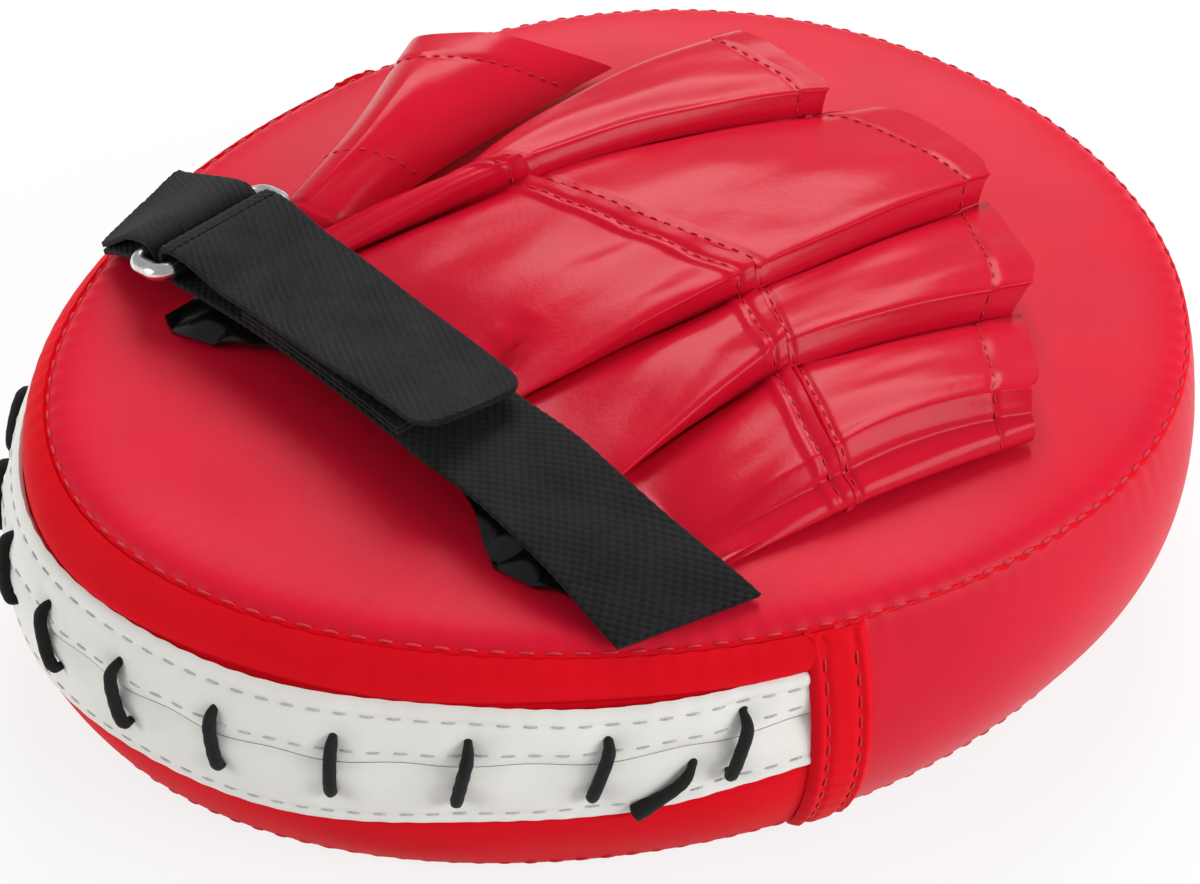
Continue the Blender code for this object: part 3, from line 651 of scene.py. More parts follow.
SLIT_HALF = 0.00006
HEM_ROW = 0.0027
SLIT_ROW = 0.0026
STRIP_SEED = 61


def stitch_angles():
    return LACE_FIRST + LACE_PITCH * np.arange(LACE_STITCHES)


def tail_angle():
    """Where the free end of the lace comes out again, just before the last stitch."""
    return stitch_angles()[-1] - LACE_TAIL_BACK


def arc_angle(length):
    """Turn round the wrist that covers a length of wall."""
    return length / (SEAM_WIDTH / 2)


def lace_slant(angle):
    """Half the turn between a stitch's two holes: they lean one way on the thumb side, the other on the near side."""
    return arc_angle(LACE_SLANT * np.clip(angle - LACE_UPRIGHT, -0.7, 0.30)) / 2


def lace_pull(turn, height):
    """How far the lace draws the strips in: a dimple at every hole and a fold along the slit."""
    slit = strip_levels(turn)[SLIT]
    holes = [(angle + lace_slant(angle), LACE_ABOVE) for angle in stitch_angles()]
    holes += [(angle - lace_slant(angle), -LACE_BELOW) for angle in stitch_angles()]
    holes += [(tail_angle(), -LACE_TAIL_HOLE)]
    pulled = np.zeros(turn.shape)
    for angle, above in holes:
        away = ((turn - angle) * SEAM_WIDTH / 2) ** 2 + (height - slit - above) ** 2
        pulled = pulled + HOLE_DIMPLE * np.exp(-away / HOLE_REACH**2)
    ridges = LACE_RIDGES * np.cos(TAU * (turn - LACE_FIRST) / LACE_PITCH) * bump(height, slit, 0.006)
    return ridges - pulled - SLIT_FOLD * np.exp(-np.abs(height - slit) / SLIT_FOLD_REACH)


def strip_relief(turn, height, run, edge_level):
    """White strip: a rolled hem at its outer edge, dented along the stitch row, drawn in by the lace."""
    away = np.abs(height - strip_levels(turn)[edge_level])
    roll = HEM_ROLL * bump(away, 0.0011, 0.0011) - HEM_EDGE * np.exp(-away / 0.0004)
    dent = -HEM_DENT * bump(away, HEM_ROW, 0.0006)
    gathers = pucker(run, away, 51, 0.00006, STRIP_STITCH, 0.003)
    return STRIP_PROUD + roll + dent + lace_pull(turn, height) + gathers


def lace_strips():
    """White strips above and below the slit, with their rows of stitches."""
    strips = (
        ("upper", HIGH, (SLIT, SLIT_HALF), (HIGH, 0.0), {"top": (HIGH, -HEM_ROW), "slit": (SLIT, SLIT_ROW)}),
        ("lower", LOW, (LOW, 0.0), (SLIT, -SLIT_HALF), {"foot": (LOW, HEM_ROW)}),
    )
    angle = np.linspace(LAP_ANGLE + 0.05, TAU - LAP_ANGLE - 0.05, 420)
    run = wrist_run(angle)
    normal = raised(egg_normal(angle), 0.25)
    for place, hem, low, high, rows in strips:
        def relief(turn, height, run):
            return strip_relief(turn, height, run, hem)
        strip = wall_band(f"lace_strip_{place}_cover", WRIST_SIDE, low, high, 640, 50, WHITE_STRIP,
                          relief, STRIP_SEED)
        dress(strip, [f"lace_strip_{place}"])
        for row, (level, step) in rows.items():
            height = strip_levels(angle)[level] + step
            line = wall(angle, height, wall_relief(angle, height, run, STRIP_SEED) + relief(angle, height, run))
            sewn = stitches("lace_strip_stitches_" + row, line, normal, GREY_THREAD, STRIP_STITCH, 0.0016, 0.00022)
            dress(sewn)


def smooth_route(points, per_span):
    """Catmull-Rom curve read at equal shares of each span of a route."""
    padded = np.concatenate([[2 * points[0] - points[1]], points, [2 * points[-1] - points[-2]]])
    a, b, c, d = (v[:, None, :] for v in (padded[:-3], padded[1:-2], padded[2:-1], padded[3:]))
    t = np.linspace(0, 1, per_span, endpoint=False)[None, :, None]
    curve = 0.5 * (2 * b + (c - a) * t + (2 * a - 5 * b + 4 * c - d) * t**2 + (3 * b - a - 3 * c + d) * t**3)
    return np.concatenate([curve.reshape(-1, points.shape[1]), points[-1:]])


def lace_route():
    """Route of the cord as turn, height above the slit and distance out of the wall."""
    front, behind = LACE_DIAMETER / 2, -(SKIN + LACE_DIAMETER / 2 + 0.0005)
    bend = LACE_DIAMETER * 0.45
    route = []
    for angle in stitch_angles():
        slant = lace_slant(angle)
        route += [
            (angle + slant, LACE_ABOVE - bend / 3, behind),
            (angle + slant, LACE_ABOVE, -SKIN / 2),
            (angle + slant * 1.1, LACE_ABOVE - bend, front),
            (angle, -0.0010, front + 0.0004),
            (angle - slant * 1.1, bend - LACE_BELOW, front),
            (angle - slant, -LACE_BELOW, -SKIN / 2),
            (angle - slant, bend / 3 - LACE_BELOW, behind),
            (angle + LACE_PITCH / 2, (LACE_ABOVE - LACE_BELOW) / 2, behind - CLEAR),
        ]
    tail = tail_angle()
    route[-1] = ((angle + tail) / 2, -(LACE_BELOW + LACE_TAIL_HOLE) / 2 - bend, behind - CLEAR)
    return np.array(route + [
        (tail, bend / 3 - LACE_TAIL_HOLE, behind),
        (tail, -LACE_TAIL_HOLE, -SKIN / 2),
        (tail - arc_angle(LACE_TAIL_RUN) * 0.25, -LACE_TAIL_HOLE - LACE_TAIL_DROP * 0.25, front),
        (tail - arc_angle(LACE_TAIL_RUN), -LACE_TAIL_HOLE - LACE_TAIL_DROP, front),
    ])


def closure_lace():
    """Braided cord: a round section along the route, thinner in the holes, spread at its cut end, plaited."""
    route = smooth_route(lace_route(), 9)
    path = wall(route[:, 0], strip_levels(route[:, 0])[SLIT] + route[:, 1], route[:, 2])
    run = path_run(path)
    squeeze = LACE_TIGHT - HOLE_SQUEEZE * bump(route[:, 2], -SKIN / 2 + 0.0004, 0.0015)
    squeeze = squeeze + TAIL_SPREAD * smooth(run, run[-1] - TAIL_SPREAD_LENGTH, run[-1])
    turn = full_turn(20)
    plait = sum(np.abs(np.sin(2 * turn[None] + TAU * run[:, None] / pitch)) for pitch in (PLAIT_PITCH, -PLAIT_PITCH))
    radius = LACE_DIAMETER / 2 * squeeze[:, None] * (1 - PLAIT_DEPTH + PLAIT_DEPTH * plait / 1.4)
    heading = unit(np.gradient(path, axis=0))
    out = raised(egg_normal(route[:, 0]), 0.0)
    tangent = np.stack([-out[:, 1], out[:, 0], out[:, 2]], -1)
    side = unit(np.cross(heading, tangent) + 0.3 * out)
    dress(cord_body("closure_lace_cord", path, radius, side, turn, run, LACE_YARN), ["closure_lace"])


def cord_body(name, path, radius, reference, turn, run, material):
    """Cord with its own radius at every point of a grid: the path plus radius times a turning unit vector."""
    heading = unit(np.gradient(path, axis=0))
    side = unit(reference - heading * (reference * heading).sum(-1, keepdims=True))
    up = np.cross(heading, side)
    grid = path[:, None] + (side[:, None] * np.cos(turn)[None, :, None]
                            + up[:, None] * np.sin(turn)[None, :, None]) * radius[..., None]
    uv = np.stack(np.meshgrid(turn * radius.mean(), run), -1).reshape(-1, 2)
    uv = np.concatenate([uv, [[0, 0], [0, run[-1]]]])
    return tube_of(name, grid, material, path[[0, -1]], uv=uv, smooth_angle=80)


LAP_ROW = 0.0022
LAP_DENT = 0.0005
LAP_ROUNDING = 0.0012
LAP_STITCH = 0.0042
LAP_SEED = 73
WELT_RADIUS = 0.0013
FOOT_ROW = 0.0052
SEAM_STITCH_GAP = 0.0016


def lap_covers():
    """Lap strips over the ends of the wrist gusset: rounded edges, gathered beside two rows of stitches."""
    half = LAP_WIDTH / SEAM_WIDTH
    for place, middle in (("near", -LAP_ANGLE), ("far", LAP_ANGLE)):
        name = "lap_cover_" + place
        across = np.linspace(-1, 1, 31)
        angle = (middle + half * across)[None]
        levels = strip_levels(angle)
        share = np.linspace(0, 1, 110)[:, None]
        height = mix(levels[BASE], levels[SEAM] - GROOVE_DEPTH, share)
        turn = angle + 0 * share
        from_edge = (1 - np.abs(across))[None] * LAP_WIDTH / 2
        rounded = 0.0016 * np.sqrt(np.clip(from_edge / LAP_ROUNDING, 0, 1)) - 0.0009
        sewn = -LAP_DENT * bump(from_edge, LAP_ROW, 0.0006)
        gathers = pucker(height, np.abs(from_edge - LAP_ROW), 71, 0.00012, LAP_STITCH, 0.0016)
        out = STRIP_PROUD + rounded + sewn + gathers + wall_relief(turn, height, height, LAP_SEED) * 0.6
        dress(sheet_of(name, wall(turn, height, out), SKIN, RED_BAND), ["seam_lap_" + place])
        for hand, side in (("left", -1), ("right", 1)):
            turn = np.full(60, middle + side * half * (1 - 2 * LAP_ROW / LAP_WIDTH))
            levels = strip_levels(turn[:1])
            rise = np.linspace(levels[BASE][0] + 0.003, levels[SEAM][0] - 0.004, len(turn))
            line = wall(turn, rise, STRIP_PROUD + 0.0003 + 0.6 * wall_relief(turn, rise, rise, LAP_SEED))
            row = stitches(f"{name}_stitches_{hand}", line, raised(egg_normal(turn), 0.0), DARK_THREAD, LAP_STITCH)
            dress(row)


def seam_threads():
    """Welt and thread in the groove round the back panel, and the thread along the foot of the wall."""
    angle = np.append(FULL_TURN, TAU)
    seam = egg(angle)
    height = pad_height(seam[:, 0])
    outward = raised(egg_normal(angle), 0.0)
    core = raised(seam, height - GROOVE_DEPTH * 1.9) - outward * 0.0004
    turn = full_turn(8)
    radius = np.full((len(core), len(turn)), WELT_RADIUS)
    dress(cord_body("back_seam_welt", core, radius, outward, turn, seam_run(angle), RED_BAND))
    line = raised(seam, height - GROOVE_DEPTH * 0.9)
    normal = raised(egg_normal(angle) * 0.5, 1.0)
    dress(stitches("back_seam_stitches", line, normal, RED_THREAD, SEAM_PITCH, SEAM_STITCH_GAP, 0.0003))
    rise = FOOT_ROW + 0 * angle
    foot = wall(angle, rise, -groove(rise) * 0.9 - 0.0002)
    dress(stitches("strike_seam_stitches", foot, outward, DARK_THREAD, SEAM_PITCH, SEAM_STITCH_GAP))


STRIKE_FOAM_TOP = 0.0200
CORE_FOAM_TOP = 0.0380
FOAM_CHAMFER = 0.001


def foam_blocks():
    """Three foam layers inside the cover, set back behind the laced strips."""
    turn = full_turn(120)
    laced = smooth(math.pi - LAP_ANGLE + 0.2 - from_wrist(turn), 0.0, 0.2)
    room = -(SKIN * 1.6 + CLEAR) - 0.0007
    setback = room - laced * (SKIN + LACE_DIAMETER + 4 * CLEAR)
    slabs = (
        ("strike_foam", SKIN + CLEAR + 0.0004, STRIKE_FOAM_TOP, room + 0 * turn),
        ("core_foam", STRIKE_FOAM_TOP + CLEAR, CORE_FOAM_TOP, setback),
    )
    blocks = {}
    for name, low, high, out in slabs:
        blocks[name] = [wall(turn, z, out - FOAM_CHAMFER * edge) for z, edge in (
            (low, 1), (low + FOAM_CHAMFER, 0), ((low + high) / 2, 0), (high - FOAM_CHAMFER, 0), (high, 1))]
    brim = pad_height(egg(turn)[:, 0]) - 0.004
    blocks["back_foam"] = [wall(turn, z, setback) for z in (CORE_FOAM_TOP + CLEAR, brim)] + [
        lift_plan(egg(turn, share), -SKIN - 0.0022) for share in (0.86, 0.6, 0.3)]
    for name, levels in blocks.items():
        dress(tube_of(name + "_block", np.stack(levels), GREY_FOAM), [name])


# Wrist strap

ANCHOR_ANGLE = math.radians(132.0)
STRAP_END_ANGLE = math.radians(-110.0)
STRAP_END_INSET = 0.0030
STRAP_WIDTH = 0.0250
WEBBING = 0.0016
STRAP_RISE = 0.0100
STRAP_END_GAP = 0.0009
RING_PLACE = 0.0310
RING_WIRE = 0.0035
RING_SIDE_ROOM = 0.0010
RING_CORNER = 0.0028
FOLD_ROOM = 0.0012
FOLD_GAP = 0.0006
ANCHOR_SKEW = 0.36
END_SKEW = 0.37
FLAP_AHEAD = 0.0015
FLAP_SETTLE = 0.0160
FLAP_LENGTH = 0.0690
STRAP_DIP = 0.0025
STRAP_ROLL = 0.14
FLAP_CURL = 0.0030
PATCH = 0.0009
PATCH_START = 0.0200
PATCH_LENGTH = 0.0420
FLAP_CORNER = 0.0050
FLAP_CURL_LENGTH = 0.035
END_CUT_LENGTH = 0.030
# Where along the strap the sway sets in, and where its dip and its roll end
SWAY_START, DIP_END, ROLL_END = (0.036, 0.080), (0.095, 0.115), (0.128, 0.152)
TWILL_HEIGHT = 0.00017
FLOAT_PITCH, FLOAT_SLOPE = 0.0021, -1.3
DOT_HEIGHT = 0.00018
PILE_HEIGHT = 0.00010
FINE_STEP = 0.00045
ANCHOR = egg(ANCHOR_ANGLE)
STRAP_END = egg(STRAP_END_ANGLE) - egg_normal(STRAP_END_ANGLE) * STRAP_END_INSET
STRAP_LENGTH = np.linalg.norm(STRAP_END - ANCHOR)
ALONG = (STRAP_END - ANCHOR) / STRAP_LENGTH
ACROSS = np.array([-ALONG[1], ALONG[0]])
HOLD_RADIUS = RING_WIRE / 2 + CLEAR + WEBBING / 2
FOLD_RADIUS = RING_WIRE / 2 + FOLD_ROOM + WEBBING / 2
RING_REACH = HOLD_RADIUS + FOLD_RADIUS + WEBBING + FOLD_GAP
PATCH_STEP = PATCH + CLEAR
FLAP_STACK = WEBBING + 2 * PATCH_STEP + CLEAR


def strap_plan(along, across):
    along, across = np.broadcast_arrays(along, across)
    return ANCHOR + ALONG * along[..., None] + ACROSS * across[..., None]


def strap_lift(along):
    """Rise of the strap over the hand: half a sine wave."""
    return STRAP_RISE * np.sin(math.pi * np.clip(along / STRAP_LENGTH, 0, 1))


def strap_line(along):
    """Middle of the webbing, as distance along the strap and height."""
    along = np.asarray(along, float)
    height = panel_top(strap_plan(along, 0.0)) + STRAP_END_GAP + WEBBING / 2 + strap_lift(along)
    return np.stack([along, height], -1)


def ring_frame():
    """Middle of the ring's two bars, with the strap's direction and normal there."""
    step = 1e-4
    run = unit(strap_line(RING_PLACE + step) - strap_line(RING_PLACE - step))
    rise = np.array([-run[1], run[0]])
    right = strap_line(RING_PLACE) + rise * FOLD_RADIUS
    return right - run * RING_REACH, right, run, rise


def hermite(start, start_run, end, end_run, steps):
    """Smooth run between two points with given directions."""
    t = np.linspace(0, 1, steps)[:, None]
    a, b = 2 * t**3 - 3 * t**2 + 1, t**3 - 2 * t**2 + t
    return a * start + b * start_run + (1 - a) * end + (t**3 - t**2) * end_run


def resampled(path, step):
    """Points at equal steps along a path."""
    run = path_run(path)
    even = np.linspace(0, run[-1], max(3, int(run[-1] / step)))
    return read_along(even, run, path), even


def sway(along, across):
    """How the strap lies on the hand cover: a shallow dip under the flap and a roll towards the fingers."""
    held = smooth(along, *SWAY_START)
    dip = -STRAP_DIP * held * (1 - smooth(along, *DIP_END))
    roll = -STRAP_ROLL * held * (1 - smooth(along, *ROLL_END))
    return dip + roll * across


def end_cut(along):
    """Slope of the cut across the strap: each end follows the seam it is sewn beside."""
    near = END_SKEW * smooth(along, STRAP_LENGTH - END_CUT_LENGTH, STRAP_LENGTH)
    return near - ANCHOR_SKEW * np.clip(1 - 2 * along / RING_PLACE, 0, 1)


def twill(along, across):
    """Diagonal ribs, each broken into the uneven floats of single yarns."""
    rib = np.cos(TAU * (along + TWILL_SLOPE * across) / TWILL_PITCH + waves(along, across, 89, 0.006))
    floats = np.cos(TAU * (along + FLOAT_SLOPE * across) / FLOAT_PITCH + waves(along, across, 91, 0.004))
    return TWILL_HEIGHT * rib * (0.55 + 0.45 * floats)


def dotted_weave(along, across):
    """Coarse plain weave: bumps in staggered rows."""
    return DOT_HEIGHT * np.cos(TAU * along / WEFT_PITCH) * np.cos(TAU * across / WARP_PITCH)


def pile(along, across):
    """Low fuzz of hook-and-loop tape."""
    return PILE_HEIGHT * waves(along, across, 83, 0.0014)


def webbing(name, path, thickness, weave, material, corner=0.0, curl=0.0):
    """Woven band along a path in the strap's upright plane.

    Its section is a flat loop with round edges; the weave lifts both faces, corner rounds the far end in plan
    and curl lifts it.
    """
    path, run = resampled(path, FINE_STEP)
    heading = unit(np.gradient(path, axis=0))
    normal = np.stack([-heading[:, 1], heading[:, 0]], -1)
    share = np.sin(np.linspace(-0.5, 0.5, 80) * math.pi)
    share = np.sign(share) * np.abs(share) ** 0.8
    edge = (1 - np.abs(share) ** 7) ** (1 / 7)
    from_end = run[-1] - run
    narrow = np.clip(corner - from_end, 0, None)
    half_width = STRAP_WIDTH / 2 - (corner - np.sqrt(np.clip(corner**2 - narrow**2, 0, None)) if corner else 0)
    across = share[None] * np.reshape(half_width, (-1, 1)) * np.ones((len(run), 1))
    lift = weave(path[:, :1], across) * np.minimum(edge, 0.9)
    top = thickness / 2 * edge[None] + lift
    under = -thickness / 2 * edge[None] - lift
    curled = curl * smooth(-from_end, -FLAP_CURL_LENGTH, 0.0)[:, None] * (0.6 - across / STRAP_WIDTH)
    hang = sway(path[:, :1], across) + curled
    loops = []
    for level, keep in ((top, slice(None)), (under, slice(-2, 0, -1))):
        flat = path[:, None] + normal[:, None] * level[..., None]
        along = flat[..., 0] + across * end_cut(flat[..., 0])
        grid = np.concatenate([strap_plan(along, across), flat[..., 1:] + hang[..., None]], -1)
        loops.append(grid[:, keep])
    width = np.concatenate([across, across[:, -2:0:-1]], 1)
    uv = np.stack([path[:, :1] + 0 * width, width], -1).reshape(-1, 2)
    uv = np.concatenate([uv, [[path[0, 0], 0], [path[-1, 0], 0]]])
    return tube_of(name, np.concatenate(loops, 1), material, flip=True, uv=uv, smooth_angle=70)


def flap_start():
    _, right, run, rise = ring_frame()
    return right + rise * FOLD_RADIUS + run * FLAP_AHEAD


def anchor_webbing():
    """Short doubled webbing from the seam round the ring's outer bar."""
    left, _, run, rise = ring_frame()
    base = strap_line(WEBBING)
    top = base + np.array([0.0, WEBBING + CLEAR])
    climb = left - base
    under = hermite(base, climb, left - rise * HOLD_RADIUS, run * RING_PLACE * 0.6, 40)
    over = hermite(left + rise * HOLD_RADIUS, -run * RING_PLACE * 0.6, top, -climb, 40)
    turn = np.linspace(0, math.pi, 40)[1:-1, None]
    bend = left + HOLD_RADIUS * (run * np.sin(turn) - rise * np.cos(turn))
    path = np.concatenate([under, bend, over])
    piece = webbing("anchor_band", path, WEBBING, twill, TWILL_YARN)
    dress(piece, ["anchor_webbing"])


def strap_base():
    """Webbing from the seam, over the hand and back round the ring's inner bar."""
    _, right, run, rise = ring_frame()
    body = strap_line(np.linspace(STRAP_LENGTH, RING_PLACE, 120))
    turn = np.linspace(0, math.pi, 40)[1:, None]
    bend = right - FOLD_RADIUS * (run * np.sin(turn) + rise * np.cos(turn))
    path = np.concatenate([body, bend, [flap_start()]])
    piece = webbing("strap_band", path, WEBBING, dotted_weave, STRAP_YARN)
    dress(piece, ["strap_base"])


def raised_line(start, length, above, steps):
    """Stretch of the strap line lifted by a height."""
    along = np.linspace(RING_PLACE + start, RING_PLACE + start + length, steps)
    return strap_line(along) + np.array([0.0, above])


def strap_flap():
    """Free end of the webbing, folded back over itself, with its hook patch."""
    _, _, run, rise = ring_frame()
    start = flap_start() + run * CLEAR
    rest = raised_line(FLAP_SETTLE, FLAP_LENGTH - FLAP_SETTLE, FLAP_STACK, 60)
    settle = hermite(start, run * FLAP_SETTLE, rest[0], unit(rest[1] - rest[0]) * FLAP_SETTLE, 40)[:-1]
    flap = webbing("flap_band", np.concatenate([settle, rest]), WEBBING, twill, TWILL_YARN,
                   corner=FLAP_CORNER, curl=FLAP_CURL)
    loop_above = WEBBING / 2 + CLEAR + PATCH / 2
    loop, hook = (
        webbing(name, raised_line(PATCH_START, PATCH_LENGTH, above, 60), PATCH, pile, PATCH_PILE)
        for name, above in (("loop_tape", loop_above), ("hook_tape", loop_above + PATCH_STEP)))
    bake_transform(flap)
    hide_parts("strap_flap")
    dress(hook, ["strap_hook_patch"], "flap")
    dress(loop, ["strap_loop_patch"])


def wire_ring():
    """Wire bent to a rectangle with round corners: a circle carried along that path."""
    left, right, run, rise = ring_frame()
    half = np.array([RING_REACH / 2, STRAP_WIDTH / 2 + RING_SIDE_ROOM + RING_WIRE / 2]) - RING_CORNER
    turn = full_turn(160)
    way = np.stack([np.cos(turn), np.sin(turn)], -1)
    corners = np.sign(way) * half + way * RING_CORNER
    path = resampled(np.concatenate([corners, [half + np.array([RING_CORNER, 0.0])]]), FINE_STEP)[0][:-1]
    heading = unit(np.roll(path, -1, 0) - np.roll(path, 1, 0))
    outward = np.stack([heading[:, 1], -heading[:, 0]], -1)
    sides = full_turn(20)
    flat = path[:, None] + outward[:, None] * (np.cos(sides)[:, None] * RING_WIRE / 2)
    off = np.sin(sides) * RING_WIRE / 2
    upright = (left + right) / 2 + flat[..., :1] * run + (off[:, None] * rise)[None]
    points = np.concatenate([strap_plan(upright[..., 0], flat[..., 1]), upright[..., 1:]], -1)
    quads = grid_faces(*points.shape[:2], wrap_rows=True, wrap_columns=True)
    piece = put_mesh("ring_wire", points.reshape(-1, 3), [quads[:, ::-1]], RING_STEEL)
    dress(piece, ["buckle_ring"], "ring")


# Hand cover, finger stalls and thumb stall

COVER = 0.0013
CUFF_START = 0.0360
CUFF_END_INSET = 0.0140
CUFF_SPAN = STRAP_LENGTH - CUFF_END_INSET - CUFF_START
HEM = 0.0080
KNUCKLE_LAP = 0.0022
KNUCKLE_ROW = 0.0042
PLEAT_UNDER = 0.0040
PLEAT_LIP = 0.0009
RIDGE_ARCH = 0.0016
EDGE_ARCH = 0.001
VALLEY_SAG = -0.0034
STALL_CREASES = 0.00022
HAND_CREASES = 0.00036
STALL_TUCK = 0.0015
HEM_RISE = 0.0003
HAND_LAP_RISE = 0.0005
KNUCKLE_DENT = 0.0004
HEM_ROW_DENT = 0.0003
ROW_WIDTH = 0.0008
HAND_DEPTH = 0.050
HAND_ROW = 0.0008
THUMB_ROW_SHARE = 0.36
STEPS_PER_SPAN = 7
STALL_SHARE = np.linspace(0, 1, 90)


def places(*points):
    """Plan and height of a line's stations, given in millimetres from the seam's centre."""
    return np.array(points, float) / 1000 + np.array([SHIFT, 0.0, 0.0])


# Ridge of each finger at the knuckle, halfway and at the tip; where it starts under the strap, as a share
# of the cuff and a height in millimetres
RIDGES = {
    "index": (places((-12, 27, 12.0), (28, 27, 12.5), (65, 21, 11.0)), (0.010, 3.5)),
    "middle": (places((10, -23, 12.0), (45, -20, 12.5), (77, -18, 10.5)), (0.555, 3.2)),
    "ring": (places((5, -42, 10.5), (30, -44, 11.5), (63, -49, 10.0)), (0.835, 2.4)),
    "little": (places((-2, -66.5, 8.5), (20, -66, 10.0), (43.5, -72, 9.0)), (0.985, 0.4)),
}
# Valley on the right of each finger, in the same way
VALLEYS = {
    "index": (places((-11.5, 25, 8.5), (28, 25.0, 6.5), (63, 20.0, 5.0)), (0.030, 1.0)),
    "middle": (places((9, -25.5, 8.0), (44, -22.5, 6.0), (74, -19.5, 4.5)), (0.568, 0.7)),
    "ring": (places((4, -45, 7.0), (29, -46.5, 5.0), (58, -50, 3.5)), (0.850, 0.5)),
    "little": (places((-1.5, -73.5, 0.0), (18, -74.0, 0.0), (42, -76.5, 0.0)), (1.060, 0.0)),
}
INDEX_EDGE = (places((-19.5, 32, 10.0), (20, 44, 12.0), (58, 47, 12.5)), (-0.060, 2.5))
INDEX_FOOT = (places((-22, 37, 0.0), (20, 51, 0.0), (60, 53.5, 0.0)), (-0.110, 0.0))
THUMB_FOOT = places((-58, 47, 0.0), (-36, 61, 0.0), (-9, 85, 0.0))
THUMB_EDGE = places((-55, 41.5, 5.0), (-30, 53, 12.0), (-4, 77, 13.0))
THUMB_SEAM = places((-47, 34, 0.8), (-12, 48, 0.8), (34, 63, 0.8))
# Creases pinched into the hand cover beside the strap, from the strap outwards
PINCHES = (places((-37.7, -16.5, 0), (-28, -10.5, 0)), places((-40.2, -16.2, 0), (-35, -12.5, 0)))
PINCH_DEPTH = 0.0022
PINCH_WIDTH = 0.0016
MIDDLE_TIP_BULGE = 0.0095
TIP_ROUNDING = 0.0022


def along_line(stations, share):
    """Parabola through a line's three stations."""
    first, half, last = stations[:, None]
    s = np.asarray(share)[:, None]
    return first * (1 - s) * (1 - 2 * s) + half * 4 * s * (1 - s) + last * s * (2 * s - 1)


def across_section(controls):
    """Grid whose rows follow smooth curves through the control lines, from left to right."""
    lines = np.stack(controls)
    curve = smooth_route(lines.reshape(len(lines), -1), STEPS_PER_SPAN)
    return curve.reshape(len(curve), -1, 3).transpose(1, 0, 2)


def between(start, end, across, rise, push=0.0):
    """Line at a share of the way across two lines and a share of the rise, pushed on by a distance."""
    plan = mix(start[:, :2], end[:, :2], across) + unit(end[:, :2] - start[:, :2]) * push
    return np.concatenate([plan, mix(start[:, 2:], end[:, 2:], rise)], -1)


def slope(left, ridge, belly, steep):
    """Control lines from a left valley up to a ridge: steep at first to close the pleat, then swelled by a belly."""
    belly, steep = belly[:, None], steep[:, None]
    steps = ((0.08, 0.16 + steep), (0.26, 0.34 + belly), (0.58, 0.66 + 0.7 * belly), (0.88, 0.95 + 0.1 * belly))
    return [left, *(between(left, ridge, *step) for step in steps), ridge]


def fold(ridge, right, under=0.0):
    """Control lines from a ridge over its lip and down to the valley on its right, drawn in under the ridge."""
    steps = ((0.0, 0.16, PLEAT_LIP), (0.45, 0.55, PLEAT_LIP - under / 2), (0.90, 0.92, 0.0002 - under),
             (1.0, 1.0, -under))
    return [between(ridge, right, *step) for step in steps]


def rolled_side(ridge, right):
    """Outer side of the little finger: a lip, a crease, and a lobe that rolls under to its foot."""
    steps = ((0.14, 0.06), (0.40, 0.34), (0.50, 0.50), (0.92, 0.58), (1.12, 0.82))
    return [*(between(ridge, right, *step) for step in steps), right]


def box_section(foot, edge, ridge):
    """Control lines of the index finger up to its ridge: a steep side and a flat top."""
    crown = mix(edge, ridge, 0.5) + np.array([0.0, 0.0, 0.0007])
    return [foot, between(foot, edge, 0.45, 0.66), edge, crown, mix(edge, ridge, 0.86), ridge]


def soft_cover(grid, seed, creases=STALL_CREASES):
    """Put a grid of plan points and heights on the back panel, creased lengthwise where it stands clear of it."""
    clear = smooth(grid[..., 2], 0.001, 0.006)
    across, along = arc_lengths(grid, 1)[None], arc_lengths(grid, 0)[:, None]
    uneven = waves(across, 0.30 * along, seed, 0.013) + 0.22 * waves(across, 0.35 * along, seed + 20, 0.0065)
    return lift_plan(grid[..., :2], CLEAR + COVER + grid[..., 2] + creases * clear * uneven)


def hem_relief(length, share):
    """Doubled leather at a stall's tip, its base tucked under the hand cover, dented along the stitch rows."""
    from_base, from_tip = share * length, (1 - share) * length
    tuck = STALL_TUCK * (1 - smooth(from_base, KNUCKLE_LAP - 0.0006, KNUCKLE_LAP + 0.0010))
    tip = HEM_RISE * smooth(-from_tip, -HEM - 0.0006, -HEM)
    knuckle_row = KNUCKLE_DENT * bump(from_base, KNUCKLE_ROW, ROW_WIDTH)
    return tip - tuck - knuckle_row - HEM_ROW_DENT * bump(from_tip, HEM, 0.0007)


def shape_tip(grid, share, ridge, bulge):
    """Tip of a stall in plan: pushed ahead between its valley and its ridge, rounded off at the ridge."""
    start, end = grid[-1, 0, :2], ridge[-1, :2]
    lateral = np.clip((grid[-1, :, :2] - start) @ (end - start) / ((end - start) @ (end - start)), 0, 1)
    ahead = unit(ridge[-1, :2] - ridge[-12, :2])
    push = bulge * np.sin(math.pi * lateral**0.5) - TIP_ROUNDING * bump(lateral, 1.0, 0.08)
    grid[..., :2] += (share**5)[:, None, None] * push[None, :, None] * ahead


def row_of(grid, share):
    """Row of a grid at a share of its length, with the normals there."""
    place = share * (len(grid) - 1)
    low = int(place)
    normal = grid_normals(grid)
    normal = normal * np.sign(normal[..., 2:].mean())
    return mix(grid[low], grid[min(low + 1, len(grid) - 1)], place - low), normal[low]


def sew_across(name, grid, share):
    """Row of stitches across a stall or the hand cover, clear of its edges."""
    line, normal = (values[3:-3] for values in row_of(grid, share))
    dress(stitches(name, line, normal, DARK_THREAD, 0.0030, 0.0012, 0.00019, 0.00003))


